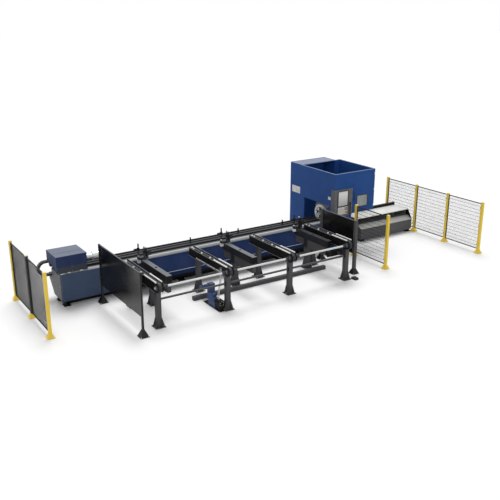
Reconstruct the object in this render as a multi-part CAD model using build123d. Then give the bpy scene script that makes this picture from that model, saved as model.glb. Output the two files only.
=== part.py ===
import os
from math import atan2, cos, degrees, hypot, pi, radians, sin, tan

from build123d import *

# Shared clearances
cut_over = 40
slide_gap = 0.5
turn_gap = 0.3

# Bed
bed_left_x = -7060
bed_length = 10540
bed_front_y = 605
bed_depth = 925
bed_foot_height = 180
bed_height = 910
bed_base_depth = 810
bed_knee_height = 270
end_plate_t = 20
end_plate_inset = 120
end_plate_drop = 40

# Cable chain tray on the back of the bed
tray_depth = 300
tray_drop = 330
tray_t = 10
tray_lip = 60
tray_bracket_drop = 190
tray_bracket_t = 12
tray_bracket_count = 8

# Rails and support beam on the bed
rail_width = 45
rail_height = 40
rail_inset = 60
support_lead = 80
support_width = 300
support_height = 45
support_groove_width = 190
support_groove_depth = 25
support_wall = 30
support_start = 100
tongue_drop = 60

# Tube axis above the bed
axis_inset = 470
axis_rise = 280

# Tube support pins
pin_side = 36
pin_offset = 180
pin_rise = 155
pin_sink = 130
pin_travel = 120
pin_end = 1615
pin_pitch = 2000
pin_count = 3

# Drip trough in front of the bed
trough_start = 2550
trough_length = 7300
trough_drop = 45
trough_flange = 60
trough_reach = 400
trough_fall = 460
trough_lip = 150
trough_t = 8

# Levelling feet
foot_plate = 220
foot_plate_t = 25
foot_stem_radius = 32
foot_rib_t = 16
foot_rib_gap = 60
bed_foot_count = 6
bed_foot_inset = 130
outfeed_foot_count = 2

# Feed carriage
carriage_overhang = 90
saddle_length = 900
saddle_front_depth = 275
saddle_rear_depth = 145
saddle_bridge = 100
saddle_height = 450
saddle_inset = 10
block_length = 140
block_width = 90
block_height = 50
block_lift = 10
block_end_inset = 60
hood_length = 1000
hood_height = 560
hood_wall = 5
hood_skirt = 40
hood_proud = 10
hood_slope_depth = 335
hood_slope_rise = 190
spindle_side = 260
spindle_proud = 50
spindle_bore = 60
spindle_bore_depth = 180

# Rear chuck on the carriage
rear_neck_radius = 92
rear_neck_length = 300
rear_head_radius = 130
rear_head_length = 230
rear_bore = 45
rear_jaw_length = 60
rear_jaw_width = 50
rear_jaw_height = 70

# Cable chain
chain_width = 140
chain_t = 70
chain_bend = 225
chain_float = 2
chain_loop_lead = 200
chain_lower_length = 900
chain_upper_length = 560
chain_link = 75
chain_groove = 14
chain_groove_depth = 16
chain_bracket_length = 260
chain_bracket_t = 15

# Cutting cabin
cabin_gap = 100
cabin_width = 2000
cabin_front_lead = 360
cabin_depth = 2140
cabin_back_depth = 710
cabin_back_step = 270
cabin_height = 3030
cabin_wall = 40
infeed_front_margin = 15
infeed_width = 1565
infeed_height = 1745
front_open_height = 1395
side_open_height = 1560
roof_t = 30

# Cabin door
door_start = 895
door_post = 45
door_bottom = 1425
door_head = 45
door_gap = 5
window_start = 237
window_bottom = 195
window_width = 525
window_height = 430
window_t = 10

# Operator panel
panel_t = 25
panel_start_z = 1350
panel_height = 1065
panel_width = 860
panel_return = 190
screen_inset = 140
screen_width = 500
screen_height = 560
screen_top_drop = 85
screen_t = 8
keypad_gap = 45
keypad_width = 490
keypad_height = 300
keypad_t = 10
key_columns = 6
key_rows = 3
key_side = 30
key_pitch = 46
key_rise = 4
key_inset = 60
estop_radius = 30
estop_stem_side = 24
estop_rise = 24
estop_stand = 8
estop_travel = 5
estop_play = 0.5
estop_inset = 75
handle_radius = 22
handle_length = 520
handle_stand = 55
handle_post_side = 26
handle_post_inset = 50
handle_edge = 130

# Front chuck
chuck_ring_radius = 315
chuck_ring_length = 85
chuck_proud = 45
chuck_shaft_radius = 205
chuck_shaft_length = 405
chuck_bore = 115
chuck_recess_radius = 225
chuck_recess_depth = 30
chuck_jaw_width = 70
chuck_jaw_height = 90
chuck_jaw_length = 75
chuck_jaw_count = 4
housing_length = 380
housing_width = 760
housing_rise = 380
housing_drop = 370
housing_corner = 120
housing_base_width = 600

# Cutting head
gantry_start = 690
gantry_width = 200
gantry_height = 240
gantry_rise = 640
head_plate_t = 50
head_plate_width = 360
head_plate_over = 60
head_body_width = 130
head_body_depth = 150
head_body_height = 620
head_cone_height = 180
head_cone_side = 110
nozzle_side = 24
head_clearance = 150

# Outfeed
outfeed_lap = 350
outfeed_length = 2800
outfeed_lead = 105
outfeed_depth = 1100
outfeed_foot_height = 100
outfeed_face = 420
chute_depth = 240
chute_rise = 140
chute_t = 8
slot_height = 240
slot_rib_t = 12
slot_rib_count = 5
slot_rib_inset = 60
plate_t = 20
plate_depth = 800
plate_split_share = 0.505
plate_joint = 6
end_cover_t = 15
outfeed_rail_width = 110
outfeed_rail_height = 120
outfeed_rail_start = 420

# Loader arms
arm_count = 4
arm_pitch = 2400
arm_start = 1870
arm_gap = 630
arm_length = 2580
arm_axis_z = 1290
arm_end_radius = 150
arm_half_width = 90
arm_plate_t = 12
arm_flange = 20
arm_flange_t = 18
arm_spacer_length = 70
arm_spacer_count = 4
take_up_length = 120
arm_nose_inset = 170

# Loader chains and drive shaft
loop_outer = 140
loop_t = 14
loop_width = 80
rib_width = 110
rib_length = 26
rib_rise = 7
rib_pitch = 190
shaft_radius = 32
shaft_over = 60
sprocket_width = 40
sprocket_teeth = 8
tooth_rise = 16
sprocket_play = 5

# Wear strips and studs on the arms
strip_width = 38
strip_height = 30
strip_length = 800
stud_side = 44
stud_height = 42
stud_pitch = 540
stud_count = 3
stud_lead = 230

# Pedestals under the arms
post_side = 150
post_base = 330
post_base_t = 20
post_head = 236
post_head_t = 18
post_skirt = 290
skirt_t = 12
anchor_radius = 9
anchor_spacing = 260
front_post_inset = 280
rear_post_inset = 450
cross_rail_side = 50
cross_rail_z = 870

# Floor beam
floor_beam_side = 130
floor_beam_start = 1820
floor_beam_length = 5440
floor_beam_share = 0.6486

# Lift beams
lift_count = 3
lift_start = 2480
lift_pitch = 3090
lift_width = 180
lift_height = 220
lift_top_z = 1350
lift_length = 1940
lift_lead = 50
lift_hole_radius = 34
lift_hole_depth = 70
lift_hole_inset = 905
lift_cheek_t = 9
lift_cheek_drop = 330
lift_post_depth = 200
lift_post_share = 0.8892
lift_post_base = 320

# Clamps on the lift beams
clamp_width = 330
clamp_depth = 160
clamp_height = 75
clamp_pin_side = 36
clamp_tall_pin = 520
clamp_short_pin = 390
clamp_pin_inset = 40
clamp_finger_length = 240
clamp_finger_width = 40
clamp_finger_t = 40
clamp_finger_tilt = 38
clamp_finger_gap = 70
clamp_block_side = 95
clamp_block_drop = 15
clamp_block_lead = 30

# Floor drives beside the second arm
drive_plate_left = 350
drive_plate_right = 230
drive_plate_front = 100
drive_plate_back = 180
drive_plate_t = 15
drive_plate_gap = 6
pump_offset = 250
pump_axis_z = 250
pump_radius = 88
pump_front = 60
pump_length = 300
pump_foot_width = 120
motor_radius = 108
motor_length = 480
motor_fan_length = 70
motor_fin_count = 12
motor_fin_rise = 12
motor_foot_width = 150
motor_box_side = 110
motor_box_height = 70
gear_offset = 100
gear_box_side = 190
gear_box_height = 330
gear_motor_radius = 85
gear_motor_length = 300

# Hoses from the second arm to the pump
hose_radius = 12
hose_spacing = 70
fitting_radius = 18
fitting_length = 40
hose_arm_inset = 350
hose_arm_drop = 10
hose_forward = 80
hose_slope = 150
hose_tail = 150

# Guards
guard_leg_side = 60
guard_t = 6
guard_base = 280
guard_skirt = 220
left_guard_lead = 1190
left_guard_front = 3330
left_guard_width = 3080
left_guard_bottom = 590
left_guard_top = 1975
right_guard_lead = 9710
right_guard_front = 2690
right_guard_width = 1930
right_guard_bottom = 715
right_guard_top = 1945

# Fences
fence_pitch = 1700
fence_post_side = 90
fence_height = 2000
fence_base = 230
fence_skirt = 125
fence_left_gap = 1080
fence_left_back = 1490
fence_left_bays = 2
fence_front_start = 350
fence_front_gap = 860
fence_front_bays = 1
fence_right_gap = 95
fence_right_back = 1515
fence_right_bays = 3
mesh_frame = 30
mesh_bottom = 150
mesh_top_drop = 40
mesh_wire = 8
mesh_rows = 9

# Foot switch
switch_lead = 275
switch_front = 215
switch_width = 160
switch_depth = 210
switch_height = 70
switch_wall = 14
switch_floor = 16
pedal_t = 16
pedal_gap = 4
pedal_pin_radius = 6

# Heights and depths that follow from the bed
bed_right_x = bed_left_x + bed_length
bed_back_y = bed_front_y + bed_depth
bed_top_z = bed_foot_height + bed_height
axis_y = bed_front_y + axis_inset
axis_z = bed_top_z + axis_rise
tray_z = bed_top_z - tray_drop
tray_back_y = bed_back_y + tray_depth
support_front_y = axis_y - support_lead
support_top_z = bed_top_z + support_height
rail_ys = [bed_front_y + rail_inset, bed_back_y - rail_inset]
pin_y = axis_y + pin_offset

# Places along the line
saddle_left_x = bed_left_x - carriage_overhang
saddle_right_x = saddle_left_x + saddle_length
saddle_front_y = bed_front_y + saddle_inset
saddle_back_y = bed_back_y - saddle_inset
saddle_bottom_z = bed_top_z + block_lift + block_height
saddle_top_z = saddle_bottom_z + saddle_height
hood_left_x = saddle_left_x - (hood_length - saddle_length) / 2
hood_right_x = hood_left_x + hood_length
hood_front_y = bed_front_y - hood_proud
hood_bottom_z = bed_top_z + hood_skirt
hood_top_z = hood_bottom_z + hood_height
spindle_end_x = hood_right_x + spindle_proud
cabin_left_x = bed_right_x + cabin_gap
cabin_right_x = cabin_left_x + cabin_width
cabin_front_y = bed_front_y - cabin_front_lead
cabin_step_y = cabin_front_y + cabin_depth
cabin_back_y = cabin_step_y + cabin_back_depth
cabin_back_right_x = cabin_right_x - cabin_back_step
outfeed_left_x = cabin_right_x - outfeed_lap
outfeed_right_x = outfeed_left_x + outfeed_length
outfeed_front_y = bed_front_y - outfeed_lead
outfeed_back_y = outfeed_front_y + outfeed_depth
outfeed_face_z = outfeed_foot_height + outfeed_face
slot_z = outfeed_face_z + chute_rise
plate_z = slot_z + slot_height

# Loader places
arm_xs = [bed_left_x + arm_start + arm_pitch * i for i in range(arm_count)]
arm_back_y = bed_front_y - arm_gap
arm_front_y = arm_back_y - arm_length
shaft_y = arm_front_y + arm_end_radius
arm_bottom_z = arm_axis_z - arm_end_radius
arm_top_z = arm_axis_z + arm_end_radius
nose_y = arm_back_y - arm_nose_inset
loop_inner = loop_outer - loop_t
front_post_y = arm_front_y + front_post_inset
rear_post_y = arm_back_y - rear_post_inset
lift_xs = [bed_left_x + lift_start + lift_pitch * i for i in range(lift_count)]
lift_back_y = arm_back_y + lift_lead
lift_front_y = lift_back_y - lift_length
lift_bottom_z = lift_top_z - lift_height
lift_post_y = front_post_y + (rear_post_y - front_post_y) * lift_post_share
lift_post_side = lift_width - 2 * (lift_cheek_t + slide_gap)
floor_beam_y = front_post_y + (rear_post_y - front_post_y) * floor_beam_share
floor_beam_x = bed_left_x + arm_start + floor_beam_start
pump_x = arm_xs[1] - pump_offset
guard_left_x = bed_left_x + left_guard_lead
guard_right_x = bed_left_x + right_guard_lead


def block(x, y, z):
    """A box between two values on each axis."""
    middle = Pos((x[0] + x[1]) / 2, (y[0] + y[1]) / 2, (z[0] + z[1]) / 2)
    return middle * Box(x[1] - x[0], y[1] - y[0], z[1] - z[0])


def around(centre, width):
    """The two values half a width either side of a centre."""
    return (centre - width / 2, centre + width / 2)


def rod_x(x, y, z, radius):
    return Pos((x[0] + x[1]) / 2, y, z) * Rot(0, 90, 0) * Cylinder(radius, x[1] - x[0])


def rod_y(x, y, z, radius):
    return Pos(x, (y[0] + y[1]) / 2, z) * Rot(90, 0, 0) * Cylinder(radius, y[1] - y[0])


def rod_z(x, y, z, radius):
    return Pos(x, y, (z[0] + z[1]) / 2) * Cylinder(radius, z[1] - z[0])


def prism_x(points, x):
    """A (y, z) outline drawn out along X."""
    outline = Plane.YZ.offset(x[0]) * make_face(Polyline(*points, close=True))
    return extrude(outline, amount=x[1] - x[0])


def prism_y(points, y):
    """An (x, z) outline drawn out along Y."""
    outline = Plane.XZ.offset(-y[1]) * make_face(Polyline(*points, close=True))
    return extrude(outline, amount=y[1] - y[0])


def prism_z(points, z):
    """An (x, y) outline drawn out along Z."""
    outline = Plane.XY.offset(z[0]) * make_face(Polyline(*points, close=True))
    return extrude(outline, amount=z[1] - z[0])


def turned_x(points, y, z):
    """An (x, radius) outline turned about an axis along X."""
    outline = make_face(Polyline(*points, close=True))
    return Pos(0, y, z) * revolve(outline, Axis.X)


def folded_sheet(points, thickness):
    """The outline of a folded sheet: one side on the points, the other a thickness to the left."""
    inner = []
    for i, (a, b) in enumerate(points):
        normals = []
        for p, q in ((i - 1, i), (i, i + 1)):
            if p < 0 or q >= len(points):
                continue
            run = (points[q][0] - points[p][0], points[q][1] - points[p][1])
            size = hypot(*run)
            normals.append((-run[1] / size, run[0] / size))
        n = (sum(v[0] for v in normals), sum(v[1] for v in normals))
        scale = thickness * len(normals) / (n[0] ** 2 + n[1] ** 2)
        inner.append((a + n[0] * scale, b + n[1] * scale))
    return points + inner[::-1]


def spread(start, end, count):
    """Evenly spaced values from start to end."""
    return [start + (end - start) * i / (count - 1) for i in range(count)]


def group(shapes):
    """Separate solids kept together under one name."""
    return Compound(children=list(shapes))


def flare(centre, low_width, high_width, low, high):
    """The outline of a plate that narrows from its foot to its top."""
    low_ends = around(centre, low_width)
    high_ends = around(centre, high_width)
    return [(low_ends[0], low), (low_ends[1], low), (high_ends[1], high), (high_ends[0], high)]


def pedestal(x, y, side, depth, height, base, skirt):
    """A square post on a base plate, with flared skirt plates flush with its faces."""
    post = block(around(x, side), around(y, depth), (0, height))
    plate = block(around(x, base), around(y, base), (0, post_base_t))
    top = post_base_t + skirt
    across = flare(x, base, side, post_base_t, top)
    along = flare(y, base, depth, post_base_t, top)
    skirts = []
    for way in (-1, 1):
        face_y = y + way * (depth - skirt_t) / 2
        face_x = x + way * (side - skirt_t) / 2
        skirts.append(prism_y(across, around(face_y, skirt_t)))
        skirts.append(prism_x(along, around(face_x, skirt_t)))
    return post + plate + skirts


def anchor_holes(x, y):
    """Two floor anchor holes, one each side of a post."""
    span = (-cut_over, post_base_t + cut_over)
    return [rod_z(x + way * anchor_spacing / 2, y, span, anchor_radius) for way in (-1, 1)]


def taper(x, y, low_side, high_side, low, high):
    """A square block whose flat sides slope from one width to another."""
    widest = max(low_side, high_side)
    across = prism_y(flare(x, low_side, high_side, low, high), around(y, widest))
    return across & prism_x(flare(y, low_side, high_side, low, high), around(x, widest))


def flared_post(x, y, side, height, base, skirt):
    """A square post that widens to its base plate in one taper."""
    post = block(around(x, side), around(y, side), (post_base_t + skirt, height))
    plate = block(around(x, base), around(y, base), (0, post_base_t))
    foot = taper(x, y, base - 2 * skirt_t, side, post_base_t, post_base_t + skirt)
    return plate + foot + post


def levelling_foot(x, y, height):
    """A floor plate with two ribs and a hexagon screw between them."""
    plate = block(around(x, foot_plate), around(y, foot_plate), (0, foot_plate_t))
    stem = Pos(x, y, 0) * extrude(RegularPolygon(foot_stem_radius, 6), amount=height)
    ribs = [
        block(around(x + way * foot_rib_gap, foot_rib_t), around(y, foot_plate), (0, height))
        for way in (-1, 1)
    ]
    return plate + stem + ribs


# Bed
def bed_frame():
    knee_z = bed_foot_height + bed_knee_height
    outline = [
        (bed_front_y, bed_top_z),
        (bed_front_y, bed_foot_height),
        (bed_front_y + bed_base_depth, bed_foot_height),
        (bed_back_y, knee_z),
        (bed_back_y, bed_top_z),
    ]
    beam = prism_x(outline, (bed_left_x, bed_right_x))
    tongue_top = axis_z - chuck_ring_radius - tongue_drop
    beam += block(
        (bed_right_x, housing_x()), around(axis_y, housing_base_width), (bed_foot_height, tongue_top)
    )
    depth = (bed_top_z - pin_sink - pin_travel - cut_over, bed_top_z + cut_over)
    return beam - pin_bars(depth, turn_gap)


def pin_xs():
    return [bed_right_x - pin_end - pin_pitch * i for i in range(pin_count)]


def pin_bars(z, play):
    """The square bars of the tube support pins, with some play round them."""
    side = pin_side + 2 * play
    return [block(around(x, side), around(pin_y, side), z) for x in pin_xs()]


def bed_end_plate():
    front = bed_front_y + end_plate_inset
    outline = [
        (front, bed_top_z - end_plate_drop),
        (front, bed_foot_height),
        (bed_front_y + bed_base_depth, bed_foot_height),
        (tray_back_y, tray_z - tray_t - tray_lip),
        (tray_back_y, tray_z - tray_t),
        (bed_back_y, tray_z - tray_t),
        (bed_back_y, bed_top_z - end_plate_drop),
    ]
    return prism_x(outline, (bed_left_x - end_plate_t, bed_left_x))


def chain_tray():
    sheet = [
        (bed_back_y, tray_z - tray_t),
        (tray_back_y, tray_z - tray_t),
        (tray_back_y, tray_z + tray_lip),
    ]
    tray = prism_x(folded_sheet(sheet, tray_t), (bed_left_x - end_plate_t, bed_right_x))
    gusset = [
        (bed_back_y, tray_z - tray_t),
        (bed_back_y, tray_z - tray_t - tray_bracket_drop),
        (tray_back_y, tray_z - tray_t),
    ]
    places = spread(bed_left_x + tray_depth, bed_right_x - tray_depth, tray_bracket_count)
    return tray + [prism_x(gusset, around(x, tray_bracket_t)) for x in places]


def levelling_feet():
    xs = spread(bed_left_x + bed_foot_inset, bed_right_x - bed_foot_inset, bed_foot_count)
    bed_ys = (bed_front_y + bed_foot_inset, bed_front_y + bed_base_depth - bed_foot_inset)
    feet = [levelling_foot(x, y, bed_foot_height) for x in xs for y in bed_ys]
    xs = spread(outfeed_left_x + bed_foot_inset, outfeed_right_x - bed_foot_inset, outfeed_foot_count)
    out_ys = (outfeed_front_y + bed_foot_inset, outfeed_back_y - bed_foot_inset)
    return group(feet + [levelling_foot(x, y, outfeed_foot_height) for x in xs for y in out_ys])


def bed_rails():
    span = (bed_left_x, bed_right_x)
    return group(block(span, around(y, rail_width), (bed_top_z, bed_top_z + rail_height)) for y in rail_ys)


def support_beam():
    span = (bed_left_x + support_start, bed_right_x)
    beam = block(span, (support_front_y, support_front_y + support_width), (bed_top_z, support_top_z))
    groove_front = support_front_y + support_wall
    groove = block(
        (span[0] - cut_over, span[1] + cut_over),
        (groove_front, groove_front + support_groove_width),
        (support_top_z - support_groove_depth, support_top_z + cut_over),
    )
    depth = (bed_top_z - cut_over, support_top_z + cut_over)
    return beam - groove - pin_bars(depth, turn_gap)


def support_pins():
    span = (bed_top_z - pin_sink, support_top_z + pin_rise)
    return group(pin_bars(span, 0))


def trough():
    top = bed_top_z - trough_drop
    sheet = [
        (bed_front_y, top - trough_flange),
        (bed_front_y, top),
        (bed_front_y - trough_reach, top - trough_fall),
        (bed_front_y - trough_reach, top - trough_fall - trough_lip),
    ]
    start = bed_left_x + trough_start
    return prism_x(folded_sheet(sheet, trough_t), (start, start + trough_length))


# Feed carriage
def carriage_saddle():
    arch_z = saddle_top_z - saddle_bridge
    outline = [
        (saddle_front_y, saddle_bottom_z),
        (saddle_front_y + saddle_front_depth, saddle_bottom_z),
        (saddle_front_y + saddle_front_depth, arch_z),
        (saddle_back_y - saddle_rear_depth, arch_z),
        (saddle_back_y - saddle_rear_depth, saddle_bottom_z),
        (saddle_back_y, saddle_bottom_z),
        (saddle_back_y, saddle_top_z),
        (saddle_front_y, saddle_top_z),
    ]
    saddle = prism_x(outline, (saddle_left_x, saddle_right_x))
    top = chain_bottom_z() + 2 * chain_bend
    bracket = block(
        (saddle_left_x + cut_over, saddle_left_x + cut_over + chain_bracket_length),
        (saddle_back_y - saddle_rear_depth, chain_y() + chain_width / 2),
        (top - chain_bracket_t, top),
    )
    return saddle + bracket


def chain_y():
    return bed_back_y + (tray_depth - tray_t) / 2


def chain_bottom_z():
    return tray_z + chain_float


def guide_blocks():
    ends = (saddle_left_x + block_end_inset, saddle_right_x - block_end_inset - block_length)
    blocks = []
    for x in ends:
        for y in rail_ys:
            span = (x, x + block_length)
            body = block(span, around(y, block_width), (bed_top_z + block_lift, saddle_bottom_z))
            slot = block(
                (x - cut_over, x + block_length + cut_over),
                around(y, rail_width + 2 * slide_gap),
                (bed_top_z, bed_top_z + rail_height + slide_gap),
            )
            blocks.append(body - slot)
    return group(blocks)


def carriage_hood():
    back = saddle_back_y + hood_wall
    shell = block((hood_left_x, hood_right_x), (hood_front_y, back), (hood_bottom_z, hood_top_z))
    hollow = block(
        (hood_left_x + hood_wall, hood_right_x - hood_wall),
        (hood_front_y + hood_wall, back - hood_wall),
        (hood_bottom_z - cut_over, saddle_top_z),
    )
    knee = hood_front_y + hood_slope_depth
    knee_z = hood_bottom_z + hood_slope_rise
    arch = [
        (hood_front_y + hood_wall, hood_bottom_z - cut_over),
        (hood_front_y + hood_wall, hood_bottom_z),
        (knee, knee_z),
        (back + cut_over, knee_z),
        (back + cut_over, hood_bottom_z - cut_over),
    ]
    ends = prism_x(arch, (hood_left_x - cut_over, hood_right_x + cut_over))
    outlet = block(
        (hood_right_x - hood_wall - cut_over, hood_right_x + cut_over),
        around(axis_y, spindle_side + hood_wall),
        (hood_bottom_z, axis_z + spindle_side / 2 + hood_wall),
    )
    return shell - hollow - ends - outlet


def spindle_housing():
    top = saddle_top_z - saddle_bridge
    body = block(
        (saddle_left_x, spindle_end_x),
        around(axis_y, spindle_side),
        (axis_z - spindle_side / 2, axis_z + spindle_side / 2),
    )
    hanger = block((saddle_left_x, saddle_right_x), around(axis_y, spindle_side), (axis_z, top))
    depth = (spindle_end_x - spindle_bore_depth, spindle_end_x + cut_over)
    bore = rod_x(depth, axis_y, axis_z, spindle_bore + turn_gap)
    return body + hanger - bore


def rear_chuck():
    start = spindle_end_x + turn_gap
    head = start + rear_neck_length
    end = head + rear_head_length
    back = start - spindle_bore_depth + turn_gap
    outline = [
        (back, rear_bore),
        (back, spindle_bore),
        (start, spindle_bore),
        (start, rear_neck_radius),
        (head, rear_neck_radius),
        (head, rear_head_radius),
        (end, rear_head_radius),
        (end, rear_bore),
    ]
    jaw = block(
        (end, end + rear_jaw_length),
        around(axis_y, rear_jaw_width),
        (axis_z + rear_bore, axis_z + rear_bore + rear_jaw_height),
    )
    axis = Axis((0, axis_y, axis_z), (1, 0, 0))
    return turned_x(outline, axis_y, axis_z) + [jaw.rotate(axis, turn) for turn in (0, 90, 180, 270)]


def cable_chain():
    loop_x = saddle_left_x - chain_loop_lead + chain_bend / 2
    middle_z = chain_bottom_z() + chain_t / 2 + chain_bend
    width = around(chain_y(), chain_width)
    outer = rod_y(loop_x, width, middle_z, chain_bend + chain_t / 2)
    inner = rod_y(loop_x, (width[0] - cut_over, width[1] + cut_over), middle_z, chain_bend - chain_t / 2)
    right_half = block(
        (loop_x, loop_x + 2 * chain_bend),
        (width[0] - cut_over, width[1] + cut_over),
        (middle_z - 2 * chain_bend, middle_z + 2 * chain_bend),
    )
    lower_z = middle_z - chain_bend
    upper_z = middle_z + chain_bend
    lower = block((loop_x, loop_x + chain_lower_length), width, around(lower_z, chain_t))
    upper = block((loop_x, loop_x + chain_upper_length), width, around(upper_z, chain_t))
    cuts = []
    turn = degrees(chain_link / chain_bend)
    across = (width[0] - cut_over, width[1] + cut_over)
    for i in range(int(180 / turn)):
        angle = radians(90 + turn * (i + 0.5))
        notch = Box(2 * chain_groove_depth, across[1] - across[0], chain_groove)
        reach = chain_bend + chain_t / 2
        place = Pos(loop_x + reach * cos(angle), chain_y(), middle_z + reach * sin(angle))
        cuts.append(place * Rot(0, -degrees(angle), 0) * notch)
    runs = ((lower_z - chain_t / 2, chain_lower_length), (upper_z + chain_t / 2, chain_upper_length))
    for z, length in runs:
        for i in range(int(length / chain_link)):
            x = loop_x + chain_link * (i + 0.5)
            cuts.append(block(around(x, chain_groove), across, around(z, 2 * chain_groove_depth)))
    return outer - inner - right_half + lower + upper - cuts


# Cutting cabin
def cabin_left_wall():
    wall = block((cabin_left_x, cabin_left_x + cabin_wall), (cabin_front_y, cabin_back_y), (0, cabin_height))
    start = bed_front_y - infeed_front_margin
    infeed = block(
        (cabin_left_x - cut_over, cabin_left_x + cabin_wall + cut_over),
        (start, start + infeed_width),
        (-cut_over, infeed_height),
    )
    return wall - infeed


def door_span():
    return (cabin_left_x + door_start, cabin_right_x - door_post)


def door_rise():
    return (door_bottom, cabin_height - door_head)


def cabin_front_wall():
    span = (cabin_left_x + cabin_wall, cabin_right_x)
    wall = block(span, (cabin_front_y, cabin_front_y + cabin_wall), (0, cabin_height))
    through = (cabin_front_y - cut_over, cabin_front_y + cabin_wall + cut_over)
    doorway = block(door_span(), through, door_rise())
    lower = block(
        (cabin_left_x + panel_width, cabin_right_x + cut_over), through, (-cut_over, front_open_height)
    )
    return wall - doorway - lower


def cabin_right_wall():
    depth = (cabin_front_y + cabin_wall, cabin_step_y)
    wall = block((cabin_right_x - cabin_wall, cabin_right_x), depth, (0, cabin_height))
    outlet = block(
        (cabin_right_x - cabin_wall - cut_over, cabin_right_x + cut_over),
        (cabin_front_y + cabin_wall - cut_over, outfeed_back_y),
        (-cut_over, side_open_height),
    )
    return wall - outlet


def cabin_rear_wall():
    plan = [
        (cabin_right_x - cabin_wall, cabin_step_y),
        (cabin_back_right_x, cabin_step_y),
        (cabin_back_right_x, cabin_back_y),
        (cabin_left_x + cabin_wall, cabin_back_y),
    ]
    return prism_z(folded_sheet(plan, cabin_wall), (0, cabin_height))


def cabin_roof():
    return block(
        (cabin_left_x + cabin_wall, cabin_back_right_x - cabin_wall),
        (cabin_step_y, cabin_back_y - cabin_wall),
        (cabin_height - roof_t, cabin_height),
    )


def window_box(y):
    left = door_span()[0] + window_start
    bottom = door_bottom + window_bottom
    return block((left, left + window_width), y, (bottom, bottom + window_height))


def cabin_door():
    left, right = door_span()
    bottom, top = door_rise()
    leaf = block(
        (left + door_gap, right - slide_gap),
        (cabin_front_y, cabin_front_y + cabin_wall),
        (bottom + door_gap, top - door_gap),
    )
    return leaf - window_box((cabin_front_y - cut_over, cabin_front_y + cabin_wall + cut_over))


def door_window():
    return window_box(around(cabin_front_y + cabin_wall / 2, window_t))


# Operator panel on the cabin's left front corner
def operator_panel():
    plan = [
        (cabin_left_x, cabin_front_y + panel_return),
        (cabin_left_x, cabin_front_y),
        (cabin_left_x + panel_width, cabin_front_y),
    ]
    outline = folded_sheet(plan, -panel_t)
    panel = prism_z(outline, (panel_start_z, panel_start_z + panel_height))
    return panel - estop_hole()


def estop_place():
    x, z = keypad_span()
    return x[1] - estop_inset, z[0] + estop_inset


def estop_hole():
    """The square hole that the emergency stop's stem slides in, through the plate and into the panel."""
    x, z = estop_place()
    face = panel_face_y()
    side = estop_stem_side + 2 * estop_play
    return block(around(x, side), (face - keypad_t - cut_over, face + 2 * estop_stand), around(z, side))


def panel_face_y():
    return cabin_front_y - panel_t


def screen_bottom():
    return panel_start_z + panel_height - screen_top_drop - screen_height


def panel_screen():
    left = cabin_left_x + screen_inset
    bottom = screen_bottom()
    face = (panel_face_y() - screen_t, panel_face_y())
    return block((left, left + screen_width), face, (bottom, bottom + screen_height))


def keypad_span():
    left = cabin_left_x + screen_inset
    top = screen_bottom() - keypad_gap
    return (left, left + keypad_width), (top - keypad_height, top)


def panel_keypad():
    x, z = keypad_span()
    face = panel_face_y() - keypad_t
    plate = block(x, (face, panel_face_y()), z)
    keys = []
    for i in range(key_columns):
        for j in range(key_rows):
            key_x = x[0] + key_inset + key_pitch * i
            key_z = z[1] - key_inset - key_pitch * j
            keys.append(block(around(key_x, key_side), (face - key_rise, face), around(key_z, key_side)))
    return plate + keys - estop_hole()


def emergency_stop():
    x, z = estop_place()
    face = panel_face_y() - keypad_t - estop_stand
    depth = (face, panel_face_y() + estop_stand - estop_travel)
    stem = block(around(x, estop_stem_side), depth, around(z, estop_stem_side))
    return stem + rod_y(x, (face - estop_rise, face), z, estop_radius)


def grab_handle():
    x = cabin_left_x + panel_width - handle_edge
    bar_y = panel_face_y() - handle_stand
    bottom = panel_start_z
    bar = rod_z(x, bar_y, (bottom, bottom + handle_length), handle_radius)
    ends = (bottom + handle_post_inset, bottom + handle_length - handle_post_inset)
    side = around(x, handle_post_side)
    return bar + [block(side, (bar_y, panel_face_y()), around(z, handle_post_side)) for z in ends]


# Front chuck
def chuck_face_x():
    return cabin_left_x - chuck_proud


def housing_x():
    return chuck_face_x() + chuck_ring_length + slide_gap


def chuck_housing():
    half = housing_width / 2
    top = axis_z + housing_rise
    low = axis_z - housing_drop
    foot = housing_base_width / 2
    outline = [
        (axis_y - foot, 0),
        (axis_y + foot, 0),
        (axis_y + foot, low),
        (axis_y + half, low + housing_corner),
        (axis_y + half, top - housing_corner),
        (axis_y + half - housing_corner, top),
        (axis_y - half + housing_corner, top),
        (axis_y - half, top - housing_corner),
        (axis_y - half, low + housing_corner),
        (axis_y - foot, low),
    ]
    span = (housing_x(), housing_x() + housing_length)
    bore = rod_x((span[0] - cut_over, span[1] + cut_over), axis_y, axis_z, chuck_shaft_radius + turn_gap)
    return prism_x(outline, span) - bore


def front_chuck():
    face = chuck_face_x()
    ring_end = face + chuck_ring_length
    outline = [
        (face + chuck_recess_depth, chuck_bore),
        (face + chuck_recess_depth, chuck_recess_radius),
        (face, chuck_recess_radius),
        (face, chuck_ring_radius),
        (ring_end, chuck_ring_radius),
        (ring_end, chuck_shaft_radius),
        (ring_end + chuck_shaft_length, chuck_shaft_radius),
        (ring_end + chuck_shaft_length, chuck_bore),
    ]
    return turned_x(outline, axis_y, axis_z)


def chuck_jaws():
    base = chuck_face_x() + chuck_recess_depth
    jaw = block(
        (base - chuck_jaw_length, base),
        around(axis_y, chuck_jaw_width),
        (axis_z + chuck_bore, axis_z + chuck_bore + chuck_jaw_height),
    )
    axis = Axis((0, axis_y, axis_z), (1, 0, 0))
    return group(jaw.rotate(axis, 360 * i / chuck_jaw_count) for i in range(chuck_jaw_count))


# Cutting head
def gantry_x():
    return (cabin_left_x + gantry_start, cabin_left_x + gantry_start + gantry_width)


def gantry_z():
    return (axis_z + gantry_rise, axis_z + gantry_rise + gantry_height)


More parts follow.
